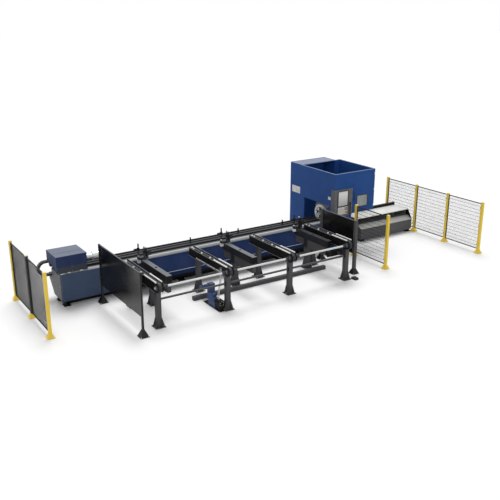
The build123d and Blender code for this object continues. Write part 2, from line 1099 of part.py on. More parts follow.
def gantry_beam():
    return block(gantry_x(), (cabin_front_y + cabin_wall, cabin_back_y - cabin_wall), gantry_z())


def head_carriage():
    face = gantry_x()[1] + slide_gap
    bottom, top = gantry_z()
    end = face + head_plate_t
    width = around(axis_y, head_plate_width)
    plate = block((face, end), width, (bottom - head_plate_over, top + head_plate_over))
    hook = block((gantry_x()[0], end), width, (top + slide_gap, top + head_plate_over))
    return plate + hook


def cutting_head():
    """A square body that tapers to a small nozzle over the tube."""
    left = gantry_x()[1] + 2 * slide_gap + head_plate_t
    centre = left + head_body_depth / 2
    tip = axis_z + head_clearance
    body_bottom = tip + head_cone_height
    rise = (body_bottom, body_bottom + head_body_height)
    body = block((left, left + head_body_depth), around(axis_y, head_body_width), rise)
    return body + taper(centre, axis_y, nozzle_side, head_cone_side, tip, body_bottom)


# Outfeed
def outfeed_base():
    wall = outfeed_back_y - slot_rib_inset
    outline = [
        (outfeed_front_y, outfeed_foot_height),
        (outfeed_front_y, outfeed_face_z),
        (outfeed_front_y + chute_depth, slot_z),
        (wall, slot_z),
        (wall, plate_z),
        (outfeed_back_y, plate_z),
        (outfeed_back_y, outfeed_foot_height),
    ]
    body = prism_x(outline, (outfeed_left_x, outfeed_right_x))
    xs = spread(outfeed_left_x + slot_rib_inset, outfeed_right_x - slot_rib_inset, slot_rib_count)
    front = outfeed_front_y + chute_depth + slot_rib_inset
    return body + [block(around(x, slot_rib_t), (front, wall), (slot_z, plate_z)) for x in xs]


def outfeed_plates():
    front = outfeed_front_y + chute_depth
    depth = (front, front + plate_depth)
    rise = (plate_z, plate_z + plate_t)
    split = outfeed_left_x + outfeed_length * plate_split_share
    left = block((outfeed_left_x, split - plate_joint / 2), depth, rise)
    right = block((split + plate_joint / 2, outfeed_right_x), depth, rise)
    return group([left, right])


def outfeed_chute():
    sheet = [
        (outfeed_front_y, outfeed_face_z),
        (outfeed_front_y + chute_depth, slot_z),
    ]
    return prism_x(folded_sheet(sheet, chute_t), (outfeed_left_x, outfeed_right_x))


def outfeed_end_cover():
    outline = [
        (outfeed_front_y, outfeed_foot_height),
        (outfeed_front_y, outfeed_face_z + plate_t),
        (outfeed_front_y + chute_depth, plate_z + plate_t),
        (outfeed_back_y, plate_z + plate_t),
        (outfeed_back_y, outfeed_foot_height),
    ]
    return prism_x(outline, (outfeed_right_x, outfeed_right_x + end_cover_t))


def outfeed_rail():
    back = (outfeed_back_y - slot_rib_inset, outfeed_back_y - slot_rib_inset + outfeed_rail_width)
    return block(
        (outfeed_left_x + outfeed_rail_start, outfeed_right_x), back, (plate_z, plate_z + outfeed_rail_height)
    )


# Loader arms
def arm(x):
    """Two side plates with a round front end, flanged edges, spacers and a slot for the shaft."""
    profile = Pos(shaft_y, arm_axis_z) * Circle(arm_end_radius)
    length = arm_back_y - shaft_y
    profile += Pos(shaft_y + length / 2, arm_axis_z) * Rectangle(length, 2 * arm_end_radius)
    profile -= Pos(shaft_y, arm_axis_z) * Rectangle(take_up_length, 2 * (shaft_radius + turn_gap))
    solid = []
    for way in (-1, 1):
        outer = x + way * (arm_half_width - arm_plate_t / 2)
        solid.append(extrude(Plane.YZ.offset(outer - arm_plate_t / 2) * profile, amount=arm_plate_t))
        flange_x = around(x + way * (arm_half_width + arm_flange / 2), arm_flange)
        for z in ((arm_bottom_z, arm_bottom_z + arm_flange_t), (arm_top_z - arm_flange_t, arm_top_z)):
            solid.append(block(flange_x, (shaft_y, arm_back_y), z))
    inside = around(x, 2 * arm_half_width)
    reach = loop_inner - slide_gap
    last = nose_y - arm_spacer_length / 2
    for y in spread(shaft_y + 2 * arm_end_radius, last, arm_spacer_count):
        solid.append(block(inside, around(y, arm_spacer_length), around(arm_axis_z, 2 * reach)))
    return solid[0] + solid[1:]


def loader_arms():
    return group(arm(x) for x in arm_xs)


def link_line(radius):
    """The (y, z) corners of a chain bent over the sprocket and the nose, one corner per link."""
    half = sprocket_teeth // 2
    front = [(shaft_y, 90 + 180 * i / half) for i in range(half + 1)]
    back = [(nose_y, 270 + 180 * i / half) for i in range(half + 1)]
    return [(y + radius * cos(radians(a)), arm_axis_z + radius * sin(radians(a))) for y, a in front + back]


def chain_loop(x):
    """A flat link chain round the front sprocket and the back nose, with cross ribs outside."""
    width = around(x, loop_width)
    over = (width[0] - cut_over, width[1] + cut_over)
    loop = prism_x(link_line(loop_outer), width) - prism_x(link_line(loop_inner), over)
    ribs = []
    top = arm_axis_z + loop_outer
    for i in range(int((nose_y - shaft_y) / rib_pitch)):
        y = shaft_y + rib_pitch * (i + 0.5)
        ribs.append(block(around(x, rib_width), around(y, rib_length), (top - loop_t / 2, top + rib_rise)))
    step = 360 / sprocket_teeth
    flat = loop_outer * cos(radians(step / 2))
    for i in range(sprocket_teeth // 2):
        rib = block(around(0, rib_width), (flat - loop_t / 2, flat + rib_rise), around(0, rib_length))
        ribs.append(Pos(x, shaft_y, arm_axis_z) * Rot(90 + step * (i + 0.5), 0, 0) * rib)
    return loop + ribs


def arm_chains():
    return group(chain_loop(x) for x in arm_xs)


def drive_shaft():
    """One shaft through all arms, with a toothed wheel in each arm."""
    over = arm_half_width + shaft_over
    shaft = rod_x((arm_xs[0] - over, arm_xs[-1] + over), shaft_y, arm_axis_z, shaft_radius)
    tip = loop_inner * cos(pi / sprocket_teeth) - sprocket_play
    outline = []
    for i in range(2 * sprocket_teeth):
        angle = pi * i / sprocket_teeth
        radius = tip - tooth_rise * (i % 2)
        outline.append((shaft_y + radius * cos(angle), arm_axis_z + radius * sin(angle)))
    return shaft + [prism_x(outline, around(x, sprocket_width)) for x in arm_xs]


def wear_strips():
    """White slide strips on the front of each arm, and slide blocks along its left edge."""
    strips = []
    for x in arm_xs:
        for way in (-1, 1):
            centre = x + way * (arm_half_width + arm_flange - strip_width / 2)
            span = (shaft_y, shaft_y + strip_length)
            strips.append(block(around(centre, strip_width), span, (arm_top_z, arm_top_z + strip_height)))
        edge = x - arm_half_width - arm_flange
        for i in range(stud_count):
            y = around(shaft_y + strip_length + stud_lead + stud_pitch * i, stud_side)
            strips.append(block((edge, edge + stud_side), y, (arm_top_z, arm_top_z + stud_height)))
    return group(strips)


def arm_pedestal(x, y):
    shape = pedestal(x, y, post_side, post_side, arm_bottom_z, post_base, post_skirt)
    head = (arm_bottom_z - post_head_t, arm_bottom_z)
    return shape + block(around(x, post_head), around(y, post_side), head)


def front_pedestals():
    return group(arm_pedestal(x, front_post_y) - anchor_holes(x, front_post_y) for x in arm_xs)


def rear_pedestals():
    return group(arm_pedestal(x, rear_post_y) for x in arm_xs)


def cross_rails():
    rails = []
    for a, b in zip(arm_xs[:-1], arm_xs[1:]):
        span = (a + post_side / 2, b - post_side / 2)
        side = around(front_post_y, cross_rail_side)
        rails.append(block(span, side, around(cross_rail_z, cross_rail_side)))
    return group(rails)


def floor_beam():
    span = (floor_beam_x, floor_beam_x + floor_beam_length)
    return block(span, around(floor_beam_y, floor_beam_side), (0, floor_beam_side))


# Lift beams
def lift_beam(x):
    beam = block(around(x, lift_width), (lift_front_y, lift_back_y), (lift_bottom_z, lift_top_z))
    depth = (lift_top_z - lift_hole_depth, lift_top_z + cut_over)
    hole = rod_z(x, lift_front_y + lift_hole_inset, depth, lift_hole_radius)
    cheeks = []
    for way in (-1, 1):
        centre = x + way * (lift_width - lift_cheek_t) / 2
        drop = (lift_bottom_z - lift_cheek_drop, lift_bottom_z)
        cheeks.append(block(around(centre, lift_cheek_t), around(lift_post_y, lift_post_depth), drop))
    return beam - hole + cheeks


def lift_beams():
    return group(lift_beam(x) for x in lift_xs)


def lift_posts():
    height = lift_bottom_z - slide_gap
    posts = []
    sizes = (lift_post_side, lift_post_depth, height, lift_post_base, post_skirt)
    for x in lift_xs:
        posts.append(pedestal(x, lift_post_y, *sizes))
    return group(posts)


def clamp_bracket(x):
    """A block across the beam's back end, with two upright bars and two tilted fingers."""
    back = lift_back_y
    top = lift_top_z + clamp_height
    body = block(around(x, clamp_width), (back - clamp_depth, back), (lift_top_z, top))
    bars = []
    tall_x = x - clamp_width / 2 + clamp_pin_inset
    short_x = x + clamp_pin_inset
    short_y = back - clamp_depth + clamp_pin_inset
    tall_y = back - clamp_pin_inset
    for bar_x, y, rise in ((tall_x, tall_y, clamp_tall_pin), (short_x, short_y, clamp_short_pin)):
        sides = around(bar_x, clamp_pin_side), around(y, clamp_pin_side)
        bars.append(block(*sides, (lift_top_z, lift_top_z + rise)))
    for i in (0, 1):
        y = back - clamp_pin_inset - clamp_finger_gap * i
        finger = Box(clamp_finger_t, clamp_finger_width, clamp_finger_length)
        place = Pos(x + clamp_width / 2 - clamp_pin_inset, y, lift_top_z + clamp_height / 2)
        bars.append(place * Rot(0, clamp_finger_tilt, 0) * Pos(0, 0, clamp_finger_length / 2) * finger)
    return body + bars


def clamp_brackets():
    return group(clamp_bracket(x) for x in lift_xs)


def clamp_blocks():
    blocks = []
    top = lift_top_z - clamp_block_drop
    back = lift_back_y - clamp_block_lead
    for x in lift_xs:
        side = x - lift_width / 2
        span = (side - clamp_block_side, side)
        blocks.append(block(span, (back - clamp_block_side, back), (top - clamp_block_side, top)))
    return group(blocks)


# Floor drives
def pump_base():
    """A floor plate notched round the second arm's pedestal, with the pump on it."""
    x = arm_xs[1]
    plate = block(
        (x - drive_plate_left, x + drive_plate_right),
        (front_post_y - drive_plate_front, floor_beam_y - floor_beam_side / 2 - drive_plate_back),
        (0, drive_plate_t),
    )
    reach = post_base / 2 + drive_plate_gap
    notch = block(
        (x - reach, x + drive_plate_right + cut_over),
        (front_post_y - drive_plate_front - cut_over, front_post_y + reach),
        (-cut_over, drive_plate_t + cut_over),
    )
    start = front_post_y - pump_front
    span = (start, start + pump_length)
    foot = block(around(pump_x, pump_foot_width), span, (0, pump_axis_z))
    return plate - notch + foot + rod_y(pump_x, span, pump_axis_z, pump_radius)


def finned_motor(radius, length):
    """A motor body about Z from the origin up, ribbed lengthwise, with a plain fan cover."""
    outline = []
    for i in range(4 * motor_fin_count):
        reach = radius if i % 4 in (0, 1) else radius - motor_fin_rise
        angle = pi * (i + 0.5) / (2 * motor_fin_count)
        outline.append((reach * cos(angle), reach * sin(angle)))
    body = prism_z(outline, (0, length - motor_fan_length))
    return body + rod_z(0, 0, (length - motor_fan_length, length), radius)


def drive_motors():
    start = front_post_y - pump_front + pump_length
    pump_motor = Pos(pump_x, start, pump_axis_z) * Rot(-90, 0, 0) * finned_motor(motor_radius, motor_length)
    length = (start, start + motor_length - motor_fan_length)
    foot = block(around(pump_x, motor_foot_width), length, (drive_plate_t, pump_axis_z))
    box = block(
        around(pump_x, motor_box_side),
        (start + motor_box_side, start + 2 * motor_box_side),
        (pump_axis_z, pump_axis_z + motor_radius + motor_box_height),
    )
    x = arm_xs[1] + gear_offset
    gear_top = floor_beam_side + gear_box_height
    gear = block(around(x, gear_box_side), around(floor_beam_y, gear_box_side), (floor_beam_side, gear_top))
    motor_z = gear_top - gear_motor_radius
    side = x - gear_box_side / 2
    motor = Rot(0, -90, 0) * finned_motor(gear_motor_radius, gear_motor_length)
    return group([pump_motor + foot + box, gear + Pos(side, floor_beam_y, motor_z) * motor])


def hose_route(side):
    """The points of one hose: slanting forward off the arm, down, and straight into the pump's fitting."""
    offset = side * hose_spacing / 2
    start_x = arm_xs[1] - arm_half_width - arm_flange - fitting_radius
    start_y = shaft_y + hose_arm_inset + offset
    start_z = arm_axis_z - hose_arm_drop - offset
    end_y = start_y - hose_forward
    end_z = pump_axis_z + pump_radius + fitting_length
    tail_z = end_z + hose_tail
    return [
        (start_x, start_y, start_z),
        (start_x, end_y, start_z - hose_slope),
        (pump_x, end_y, tail_z),
        (pump_x, end_y, end_z),
    ]


def cord_radii(points):
    """For each corner of a route, the largest arc that both runs leave room for."""
    radii = []
    for a, b, c in zip(points[:-2], points[1:-1], points[2:]):
        first = Vector(*b) - Vector(*a)
        second = Vector(*c) - Vector(*b)
        half = radians(first.get_angle(second)) / 2
        radii.append(0.45 * min(first.length, second.length) / tan(half))
    return radii


def pump_hose(side):
    points = hose_route(side)
    radii = cord_radii(points)
    print("hose radii", [round(r) for r in radii])
    path = FilletPolyline(*points, radius=radii)
    section = Plane(origin=path @ 0, z_dir=path % 0) * Circle(hose_radius)
    return sweep(section, path=path)


def hose_fittings():
    """A slanted block on the arm and an upright one on the pump for each hose."""
    fittings = []
    slant = degrees(atan2(hose_slope, hose_forward))
    side = 2 * fitting_radius
    for way in (-1, 1):
        points = hose_route(way)
        start, end = points[0], points[-1]
        plate_x = arm_xs[1] - arm_half_width
        width = plate_x - start[0] + fitting_radius
        body = Pos(plate_x - width / 2, start[1], start[2]) * Rot(slant, 0, 0)
        fittings.append(body * Pos(0, fitting_length / 2, 0) * Box(width, fitting_length, side))
        fittings.append(block(around(end[0], side), around(end[1], side), (end[2] - fitting_length, end[2])))
    return group(fittings)


# Guards and fences
def guard(x, front, width, bottom, top):
    """A sheet between two legs on flared feet."""
    ys = (front + guard_leg_side / 2, front + width - guard_leg_side / 2)
    legs = [flared_post(x, y, guard_leg_side, top, guard_base, guard_skirt) for y in ys]
    return legs[0] + [legs[1], block(around(x, guard_t), ys, (bottom, top))]


def left_guard():
    front = bed_front_y - left_guard_front
    return guard(guard_left_x, front, left_guard_width, left_guard_bottom, left_guard_top)


def right_guard():
    front = bed_front_y - right_guard_front
    return guard(guard_right_x, front, right_guard_width, right_guard_bottom, right_guard_top)


def fence_lines():
    """For each fence its X, the Y of its back post and its number of bays."""
    left = (bed_left_x - fence_left_gap, bed_front_y + fence_left_back, fence_left_bays)
    front = (cabin_left_x + fence_front_start, cabin_front_y - fence_front_gap, fence_front_bays)
    right_x = outfeed_right_x + end_cover_t + fence_right_gap
    right = (right_x, bed_front_y + fence_right_back, fence_right_bays)
    return [left, front, right]


def fence_posts():
    posts = []
    for x, back, bays in fence_lines():
        for i in range(bays + 1):
            y = back - fence_pitch * i
            posts.append(flared_post(x, y, fence_post_side, fence_height, fence_base, fence_skirt))
    return group(posts)


def fence_panel():
    """One panel at X zero, from Y zero towards the back: a frame with thin wires across it."""
    width = fence_pitch - fence_post_side
    top = fence_height - mesh_top_drop
    inside = (mesh_frame, width - mesh_frame)
    frame = block(around(0, mesh_frame), (0, width), (mesh_bottom, top))
    opening = block(around(0, mesh_frame + cut_over), inside, (mesh_bottom + mesh_frame, top - mesh_frame))
    heights = [mesh_bottom + (top - mesh_bottom) * (i + 1) / (mesh_rows + 1) for i in range(mesh_rows)]
    return frame - opening + [block(around(0, mesh_wire), inside, around(z, mesh_wire)) for z in heights]


def fence_panels():
    panel = fence_panel()
    panels = []
    for x, back, bays in fence_lines():
        for i in range(bays):
            panels.append(Pos(x, back - fence_pitch * (i + 1) + fence_post_side / 2, 0) * panel)
    return group(panels)


# Foot switch
def switch_box():
    x = (arm_xs[-1] + switch_lead - switch_width / 2, arm_xs[-1] + switch_lead + switch_width / 2)
    y = (front_post_y - switch_front - switch_depth / 2, front_post_y - switch_front + switch_depth / 2)
    return x, y


def foot_switch():
    """A low case, open at the front and top, with a hinge hole through its sides at the back."""
    x, y = switch_box()
    case = block(x, y, (0, switch_height))
    bay = block(
        (x[0] + switch_wall, x[1] - switch_wall),
        (y[0] - cut_over, y[1] - switch_wall),
        (switch_floor, switch_height + cut_over),
    )
    return case - bay - pedal_pin(turn_gap)


def pedal_pin(play):
    x, y = switch_box()
    centre_y = y[1] - switch_wall - pedal_t - pedal_gap
    span = (x[0] + switch_wall / 2 - play, x[1] - switch_wall / 2 + play)
    return rod_x(span, centre_y, switch_height - pedal_t, pedal_pin_radius + play)


def foot_pedal():
    x, y = switch_box()
    centre_y = y[1] - switch_wall - pedal_t - pedal_gap
    span = (x[0] + switch_wall + pedal_gap, x[1] - switch_wall - pedal_gap)
    leaf = block(span, (y[0], centre_y + pedal_t), around(switch_height - pedal_t, pedal_t))
    return leaf + pedal_pin(0)


nodes = {
    "bed_frame": bed_frame(),
    "bed_end_plate": bed_end_plate(),
    "chain_tray": chain_tray(),
    "levelling_feet": levelling_feet(),
    "bed_rails": bed_rails(),
    "support_beam": support_beam(),
    "support_pins": support_pins(),
    "trough": trough(),
    "carriage_saddle": carriage_saddle(),
    "guide_blocks": guide_blocks(),
    "carriage_hood": carriage_hood(),
    "spindle_housing": spindle_housing(),
    "rear_chuck": rear_chuck(),
    "cable_chain": cable_chain(),
    "cabin_left_wall": cabin_left_wall(),
    "cabin_front_wall": cabin_front_wall(),
    "cabin_right_wall": cabin_right_wall(),
    "cabin_rear_wall": cabin_rear_wall(),
    "cabin_roof": cabin_roof(),
    "cabin_door": cabin_door(),
    "door_window": door_window(),
    "operator_panel": operator_panel(),
    "panel_screen": panel_screen(),
    "panel_keypad": panel_keypad(),
    "emergency_stop": emergency_stop(),
    "grab_handle": grab_handle(),
    "chuck_housing": chuck_housing(),
    "front_chuck": front_chuck(),
    "chuck_jaws": chuck_jaws(),
    "gantry_beam": gantry_beam(),
    "head_carriage": head_carriage(),
    "cutting_head": cutting_head(),
    "outfeed_base": outfeed_base(),
    "outfeed_plates": outfeed_plates(),
    "outfeed_chute": outfeed_chute(),
    "outfeed_end_cover": outfeed_end_cover(),
    "outfeed_rail": outfeed_rail(),
    "loader_arms": loader_arms(),
    "arm_chains": arm_chains(),
    "drive_shaft": drive_shaft(),
    "wear_strips": wear_strips(),
    "front_pedestals": front_pedestals(),
    "rear_pedestals": rear_pedestals(),
    "cross_rails": cross_rails(),
    "floor_beam": floor_beam(),
    "lift_beams": lift_beams(),
    "lift_posts": lift_posts(),
    "clamp_brackets": clamp_brackets(),
    "clamp_blocks": clamp_blocks(),
    "pump_base": pump_base(),
    "drive_motors": drive_motors(),
    "pump_hose_front": pump_hose(-1),
    "pump_hose_back": pump_hose(1),
    "hose_fittings": hose_fittings(),
    "left_guard": left_guard(),
    "right_guard": right_guard(),
    "fence_posts": fence_posts(),
    "fence_panels": fence_panels(),
    "foot_switch": foot_switch(),
    "foot_pedal": foot_pedal(),
}

os.makedirs("parts", exist_ok=True)
for name, shape in nodes.items():
    export_step(shape, f"parts/{name}.step")
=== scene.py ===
from math import cos, pi, radians

import bpy
from mathutils import Matrix, Vector


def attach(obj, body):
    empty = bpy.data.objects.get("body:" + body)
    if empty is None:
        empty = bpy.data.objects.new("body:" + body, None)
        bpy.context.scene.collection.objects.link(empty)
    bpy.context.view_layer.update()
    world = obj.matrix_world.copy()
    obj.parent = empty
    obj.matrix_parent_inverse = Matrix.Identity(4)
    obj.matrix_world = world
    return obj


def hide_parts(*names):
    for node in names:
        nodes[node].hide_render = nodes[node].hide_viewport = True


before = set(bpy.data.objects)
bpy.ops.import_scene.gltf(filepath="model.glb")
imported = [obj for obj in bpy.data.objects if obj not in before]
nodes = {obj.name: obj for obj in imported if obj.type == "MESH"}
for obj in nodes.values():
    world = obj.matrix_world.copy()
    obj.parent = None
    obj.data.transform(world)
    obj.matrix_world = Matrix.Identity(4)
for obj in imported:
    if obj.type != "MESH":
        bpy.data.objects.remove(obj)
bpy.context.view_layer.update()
bpy.ops.object.select_all(action="DESELECT")


# Shader maths
class Value:
    """A socket of a finish's node tree that can be used in sums."""

    def __init__(self, finish, socket):
        self.finish = finish
        self.socket = socket

    def math(self, operation, *others):
        inputs = dict(enumerate((self,) + others))
        return self.finish.node("ShaderNodeMath", {"operation": operation}, inputs)

    def __add__(self, other):
        return self.math("ADD", other)

    __radd__ = __add__

    def __sub__(self, other):
        return self.math("SUBTRACT", other)

    def __rsub__(self, other):
        return self.finish.node("ShaderNodeMath", {"operation": "SUBTRACT"}, {0: other, 1: self})

    def __mul__(self, other):
        return self.math("MULTIPLY", other)

    __rmul__ = __mul__

    def between(self, low, high):
        """Zero below low, one above high, smooth in between."""
        inputs = {"Value": self, "From Min": low, "From Max": high}
        return self.finish.node("ShaderNodeMapRange", {"interpolation_type": "SMOOTHSTEP"}, inputs)

    def above(self, level):
        return self.math("GREATER_THAN", level)

    def below(self, level):
        return self.math("LESS_THAN", level)

    def off(self, middle):
        """The distance from a middle value."""
        return (self - middle).math("ABSOLUTE")

    def most(self, other):
        return self.math("MAXIMUM", other)

    def least(self, other):
        return self.math("MINIMUM", other)


class Nodes:
    """A node tree and the one way to add to it."""

    def __init__(self, tree):
        self.tree = tree

    def put(self, socket, value):
        """Links a value to a socket, or sets a constant on it."""
        if isinstance(value, Value):
            self.tree.links.new(value.socket, socket)
        else:
            socket.default_value = value

    def node(self, kind, settings, inputs, output=0):
        made = self.tree.nodes.new(kind)
        for name, value in settings.items():
            setattr(made, name, value)
        for key, value in inputs.items():
            self.put(made.inputs[key], value)
        return Value(self, made.outputs[output])

    def shown(self):
        """One for what the camera sees, also mirrored or through glass, and zero for bounced light."""
        kinds = ("Is Camera Ray", "Is Glossy Ray", "Is Transmission Ray")
        direct, mirrored, through = (self.node("ShaderNodeLightPath", {}, {}, kind) for kind in kinds)
        return direct.most(mirrored).most(through)


class Finish(Nodes):
    """One material: a Principled shader with constants on its sockets and nodes for what varies."""

    def __init__(self, name, **constants):
        self.material = bpy.data.materials.new(name)
        self.material.use_nodes = True
        super().__init__(self.material.node_tree)
        self.shader = self.tree.nodes["Principled BSDF"]
        self.places = self.node("ShaderNodeTexCoord", {}, {}, "Object")
        for socket, value in constants.items():
            self.put(self.shader.inputs[socket.replace("_", " ").title().replace("Ior", "IOR")], value)

    def stretched(self, x, y, z):
        return self.node("ShaderNodeMapping", {}, {"Vector": self.places, "Scale": (x, y, z)})

    def noise(self, scale, detail=3.0, rough=0.55, places=None):
        inputs = {"Vector": places or self.places, "Scale": scale, "Detail": detail, "Roughness": rough}
        return self.node("ShaderNodeTexNoise", {}, inputs)

    def cells(self, scale):
        return self.node("ShaderNodeTexVoronoi", {}, {"Vector": self.places, "Scale": scale})

    def axis(self, letter):
        return self.node("ShaderNodeSeparateXYZ", {}, {"Vector": self.places}, output="XYZ".index(letter))

    def facing(self, letter):
        """How much the surface faces along an axis, from minus one to one."""
        normal = self.node("ShaderNodeNewGeometry", {}, {}, "Normal")
        return self.node("ShaderNodeSeparateXYZ", {}, {"Vector": normal}, output="XYZ".index(letter))

    def mix(self, amount, first, second):
        first, second = ((*c, 1) if isinstance(c, tuple) else c for c in (first, second))
        return self.node("ShaderNodeMix", {"data_type": "RGBA"}, {0: amount, 6: first, 7: second}, 2)

    def set(self, socket, value):
        self.put(self.shader.inputs[socket], value)

    def bump(self, height, strength, distance):
        made = self.node("ShaderNodeBump", {}, {"Strength": strength, "Distance": distance, "Height": height})
        self.set("Normal", made)


def srgb(r, g, b):
    """A colour from 0 to 255 as linear light."""
    shares = (v / 255 for v in (r, g, b))
    return tuple(c / 12.92 if c <= 0.04045 else ((c + 0.055) / 1.055) ** 2.4 for c in shares)


def lighter(colour, share):
    return tuple(min(1, c + (1 - c) * share) for c in colour)


def darker(colour, share):
    return tuple(c * (1 - share) for c in colour)


def painted(name, colour, roughness=0.5, gloss=0.14, dust=0.12, peel=0.09, top=None, painted_reflection_end=None):
    """Sprayed machine paint: faint orange peel, cloudy gloss, rubbed streaks and dust.

    Top faces can have a tone of their own, which can stop at a given place along X. On the lift beams this
    top tone is a painted reflection, and on the trough a painted highlight.
    """
    f = Finish(name, specular_ior_level=gloss)
    cloud = f.noise(1.3, 4.0)
    speck = f.noise(46, 2.0)
    streak = f.noise(2.0, 5.0, 0.7, f.stretched(3, 3, 0.5))
    base = f.mix(cloud.between(0.3, 0.7) * 0.6, darker(colour, 0.12), lighter(colour, 0.015))
    base = f.mix(streak.between(0.55, 0.75) * 0.25, base, darker(colour, 0.3))
    up = f.facing("Z").between(0.8, 0.95)
    if painted_reflection_end is not None:
        up = up * (1 - f.axis("X").above(painted_reflection_end))
    if top:
        base = f.mix(up * (0.82 + cloud * 0.3).least(1), base, top)
    settled = up * (cloud * 0.6 + speck * 0.4).between(0.35, 0.75)
    f.set("Base Color", f.mix(settled * dust, base, lighter(top or colour, 0.3)))
    f.set("Roughness", roughness + (cloud - 0.5) * 0.18 + settled * 0.12 + streak * 0.08)
    f.bump(f.noise(260, 1.0), peel, 0.0006)
    return f.material


def bed_coat(name, colour, pale, dark):
    """Machine bed paint: blue sides, black on the front along and under the trough as painted shade, and on
    top a pale, finely lined strip in front that fades to black at the back.
    """
    f = Finish(name, specular_ior_level=0.14)
    cloud = f.noise(1.3, 4.0)
    streak = f.noise(2.0, 5.0, 0.7, f.stretched(0.5, 3, 3))
    side = f.mix(cloud.between(0.3, 0.7) * 0.6, darker(colour, 0.1), lighter(colour, 0.02))
    lines = f.noise(3.0, 4.0, 0.7, f.stretched(0.4, 40, 40))
    pale_strip_and_reflection = f.mix(lines.between(0.3, 0.75) * 0.6, darker(pale, 0.22), pale)
    # The top runs from the pale strip in front to black at the back. This is partly a pale sheet and a black
    # top, and partly a painted reflection fading into painted shade.
    top = f.mix(f.axis("Y").between(0.7, 0.97), pale_strip_and_reflection, dark)
    along_trough = f.axis("X").off(-0.86).below(3.65)
    # The top tone also covers the front face just above the trough, a painted highlight.
    strip = (f.facing("Z").between(0.8, 0.95) + along_trough * f.axis("Z").above(1.05)).least(1)
    # Black on the front below the top of the trough: painted shade under the trough.
    painted_shade_under_trough = along_trough * f.axis("Z").below(1.03) * (1 - f.axis("Y").above(0.8))
    side = f.mix(painted_shade_under_trough, side, dark)
    side = f.mix(streak.between(0.55, 0.75) * 0.2, side, darker(colour, 0.25))
    f.set("Base Color", f.mix(strip, side, top))
    f.set("Roughness", 0.5 + (cloud - 0.5) * 0.18 + lines * 0.06)
    f.bump(f.noise(260, 1.0), 0.09, 0.0006)
    return f.material


def guide_steel(name, bright, dark):
    """Ground rail steel with drawn lines, bright on the front rail and dark on the rear one, where the dark
    is a painted shade.
    """
    f = Finish(name, metallic=0.3)
    lines = f.noise(3.0, 4.0, 0.7, f.stretched(1.5, 90, 90))
    cloud = f.noise(2.2, 3.0)
    # Behind 1 m along Y the rail is dark: painted shade on the rear rail.
    rear = f.axis("Y").above(1.0)
    tone = f.mix(rear, bright, dark)
    worn = f.mix(rear, darker(bright, 0.3), darker(dark, 0.4))
    f.set("Base Color", f.mix(lines.between(0.3, 0.75) * 0.35 + cloud * 0.2, tone, worn))
    f.set("Roughness", 0.34 + lines * 0.16 + (cloud - 0.5) * 0.12)
    f.bump(lines, 0.1, 0.0008)
    return f.material


def brushed(name, colour, along="X", roughness=0.33, dark=0.35):
    """Metal with fine drawn lines along one axis."""
    f = Finish(name, metallic=1.0)
    scale = {"X": (1.5, 90, 90), "Y": (90, 1.5, 90), "Z": (90, 90, 1.5)}[along]
    lines = f.noise(3.0, 4.0, 0.7, f.stretched(*scale))
    cloud = f.noise(2.2, 3.0)
    f.set("Base Color", f.mix(lines.between(0.3, 0.75) * 0.6 + cloud * 0.3, darker(colour, dark), colour))
    f.set("Roughness", roughness + lines * 0.16 + (cloud - 0.5) * 0.12)
    f.bump(lines, 0.12, 0.0008)
    return f.material


def moulded(name, colour, roughness=0.5, grain=420, depth=0.25):
    """Moulded plastic with a fine leathered grain."""
    f = Finish(name, specular_ior_level=0.45)
    cloud = f.noise(5, 3.0)
    f.set("Base Color", f.mix(cloud.between(0.3, 0.7), darker(colour, 0.16), lighter(colour, 0.03)))
    f.set("Roughness", roughness + (cloud - 0.5) * 0.2)
    f.bump(f.cells(grain), depth, 0.0006)
    return f.material


def cast(name, colour):
    """Rough cast metal under thin paint."""
    f = Finish(name, metallic=0.35)
    lumps = f.noise(60, 5.0, 0.65)
    cloud = f.noise(3, 3.0)
    f.set("Base Color", f.mix(cloud.between(0.3, 0.7), darker(colour, 0.25), lighter(colour, 0.06)))
    f.set("Roughness", 0.55 + lumps * 0.2)
    f.bump(lumps, 0.45, 0.002)
    return f.material


def pane(name, colour, strength):
    """Window glass with faint smears, seen against a dark inside; its pale grey colour is a painted
    reflection.
    """
    f = Finish(name, specular_ior_level=0.6)
    smear = f.noise(4, 4.0)
    f.set("Base Color", f.mix(smear.between(0.3, 0.7), darker(colour, 0.2), lighter(colour, 0.05)))
    f.set("Roughness", 0.06 + smear.between(0.4, 0.8) * strength)
    return f.material


def fence_paint(name, yellow, black):
    """Yellow powder coat, with the middle post of the left fence black above its foot."""
    f = Finish(name, specular_ior_level=0.2)
    cloud = f.noise(1.6, 4.0)
    scuff = f.noise(21, 5.0, 0.7)
    near_left = f.axis("X").below(-8.0)
    near_middle = f.axis("Y").off(0.395).below(0.06)
    dark_post = near_left * near_middle * f.axis("Z").above(0.15)
    low = 1 - f.axis("Z").between(0.02, 0.45)
    coat = f.mix(cloud.between(0.3, 0.7), darker(yellow, 0.07), lighter(yellow, 0.04))
    coat = f.mix(scuff.between(0.58, 0.75) * low * 0.5, coat, darker(yellow, 0.55))
    f.set("Base Color", f.mix(dark_post, coat, f.mix(cloud, darker(black, 0.1), lighter(black, 0.04))))
    f.set("Roughness", 0.42 + (cloud - 0.5) * 0.15 + scuff * 0.06)
    f.bump(f.noise(300, 1.0), 0.08, 0.0006)
    return f.material


def screen_face(name):
    """A lit screen behind glass: a pale bar over a plain picture that darkens downwards."""
    f = Finish(name, specular_ior_level=0.5)
    up = f.axis("Z").between(1.77, 2.33)
    picture = f.mix(up, srgb(190, 190, 192), srgb(240, 240, 240))
    bar = f.axis("Z").above(2.245)
    inside = 1 - f.axis("X").off(3.97).between(0.222, 0.226)
    smear = f.noise(7, 3.0)
    lit = f.mix(bar, picture, srgb(232, 233, 232))
    f.set("Base Color", f.mix(inside, srgb(40, 42, 46), lit))
    f.set("Roughness", 0.12 + smear.between(0.35, 0.8) * 0.16)
    return f.material


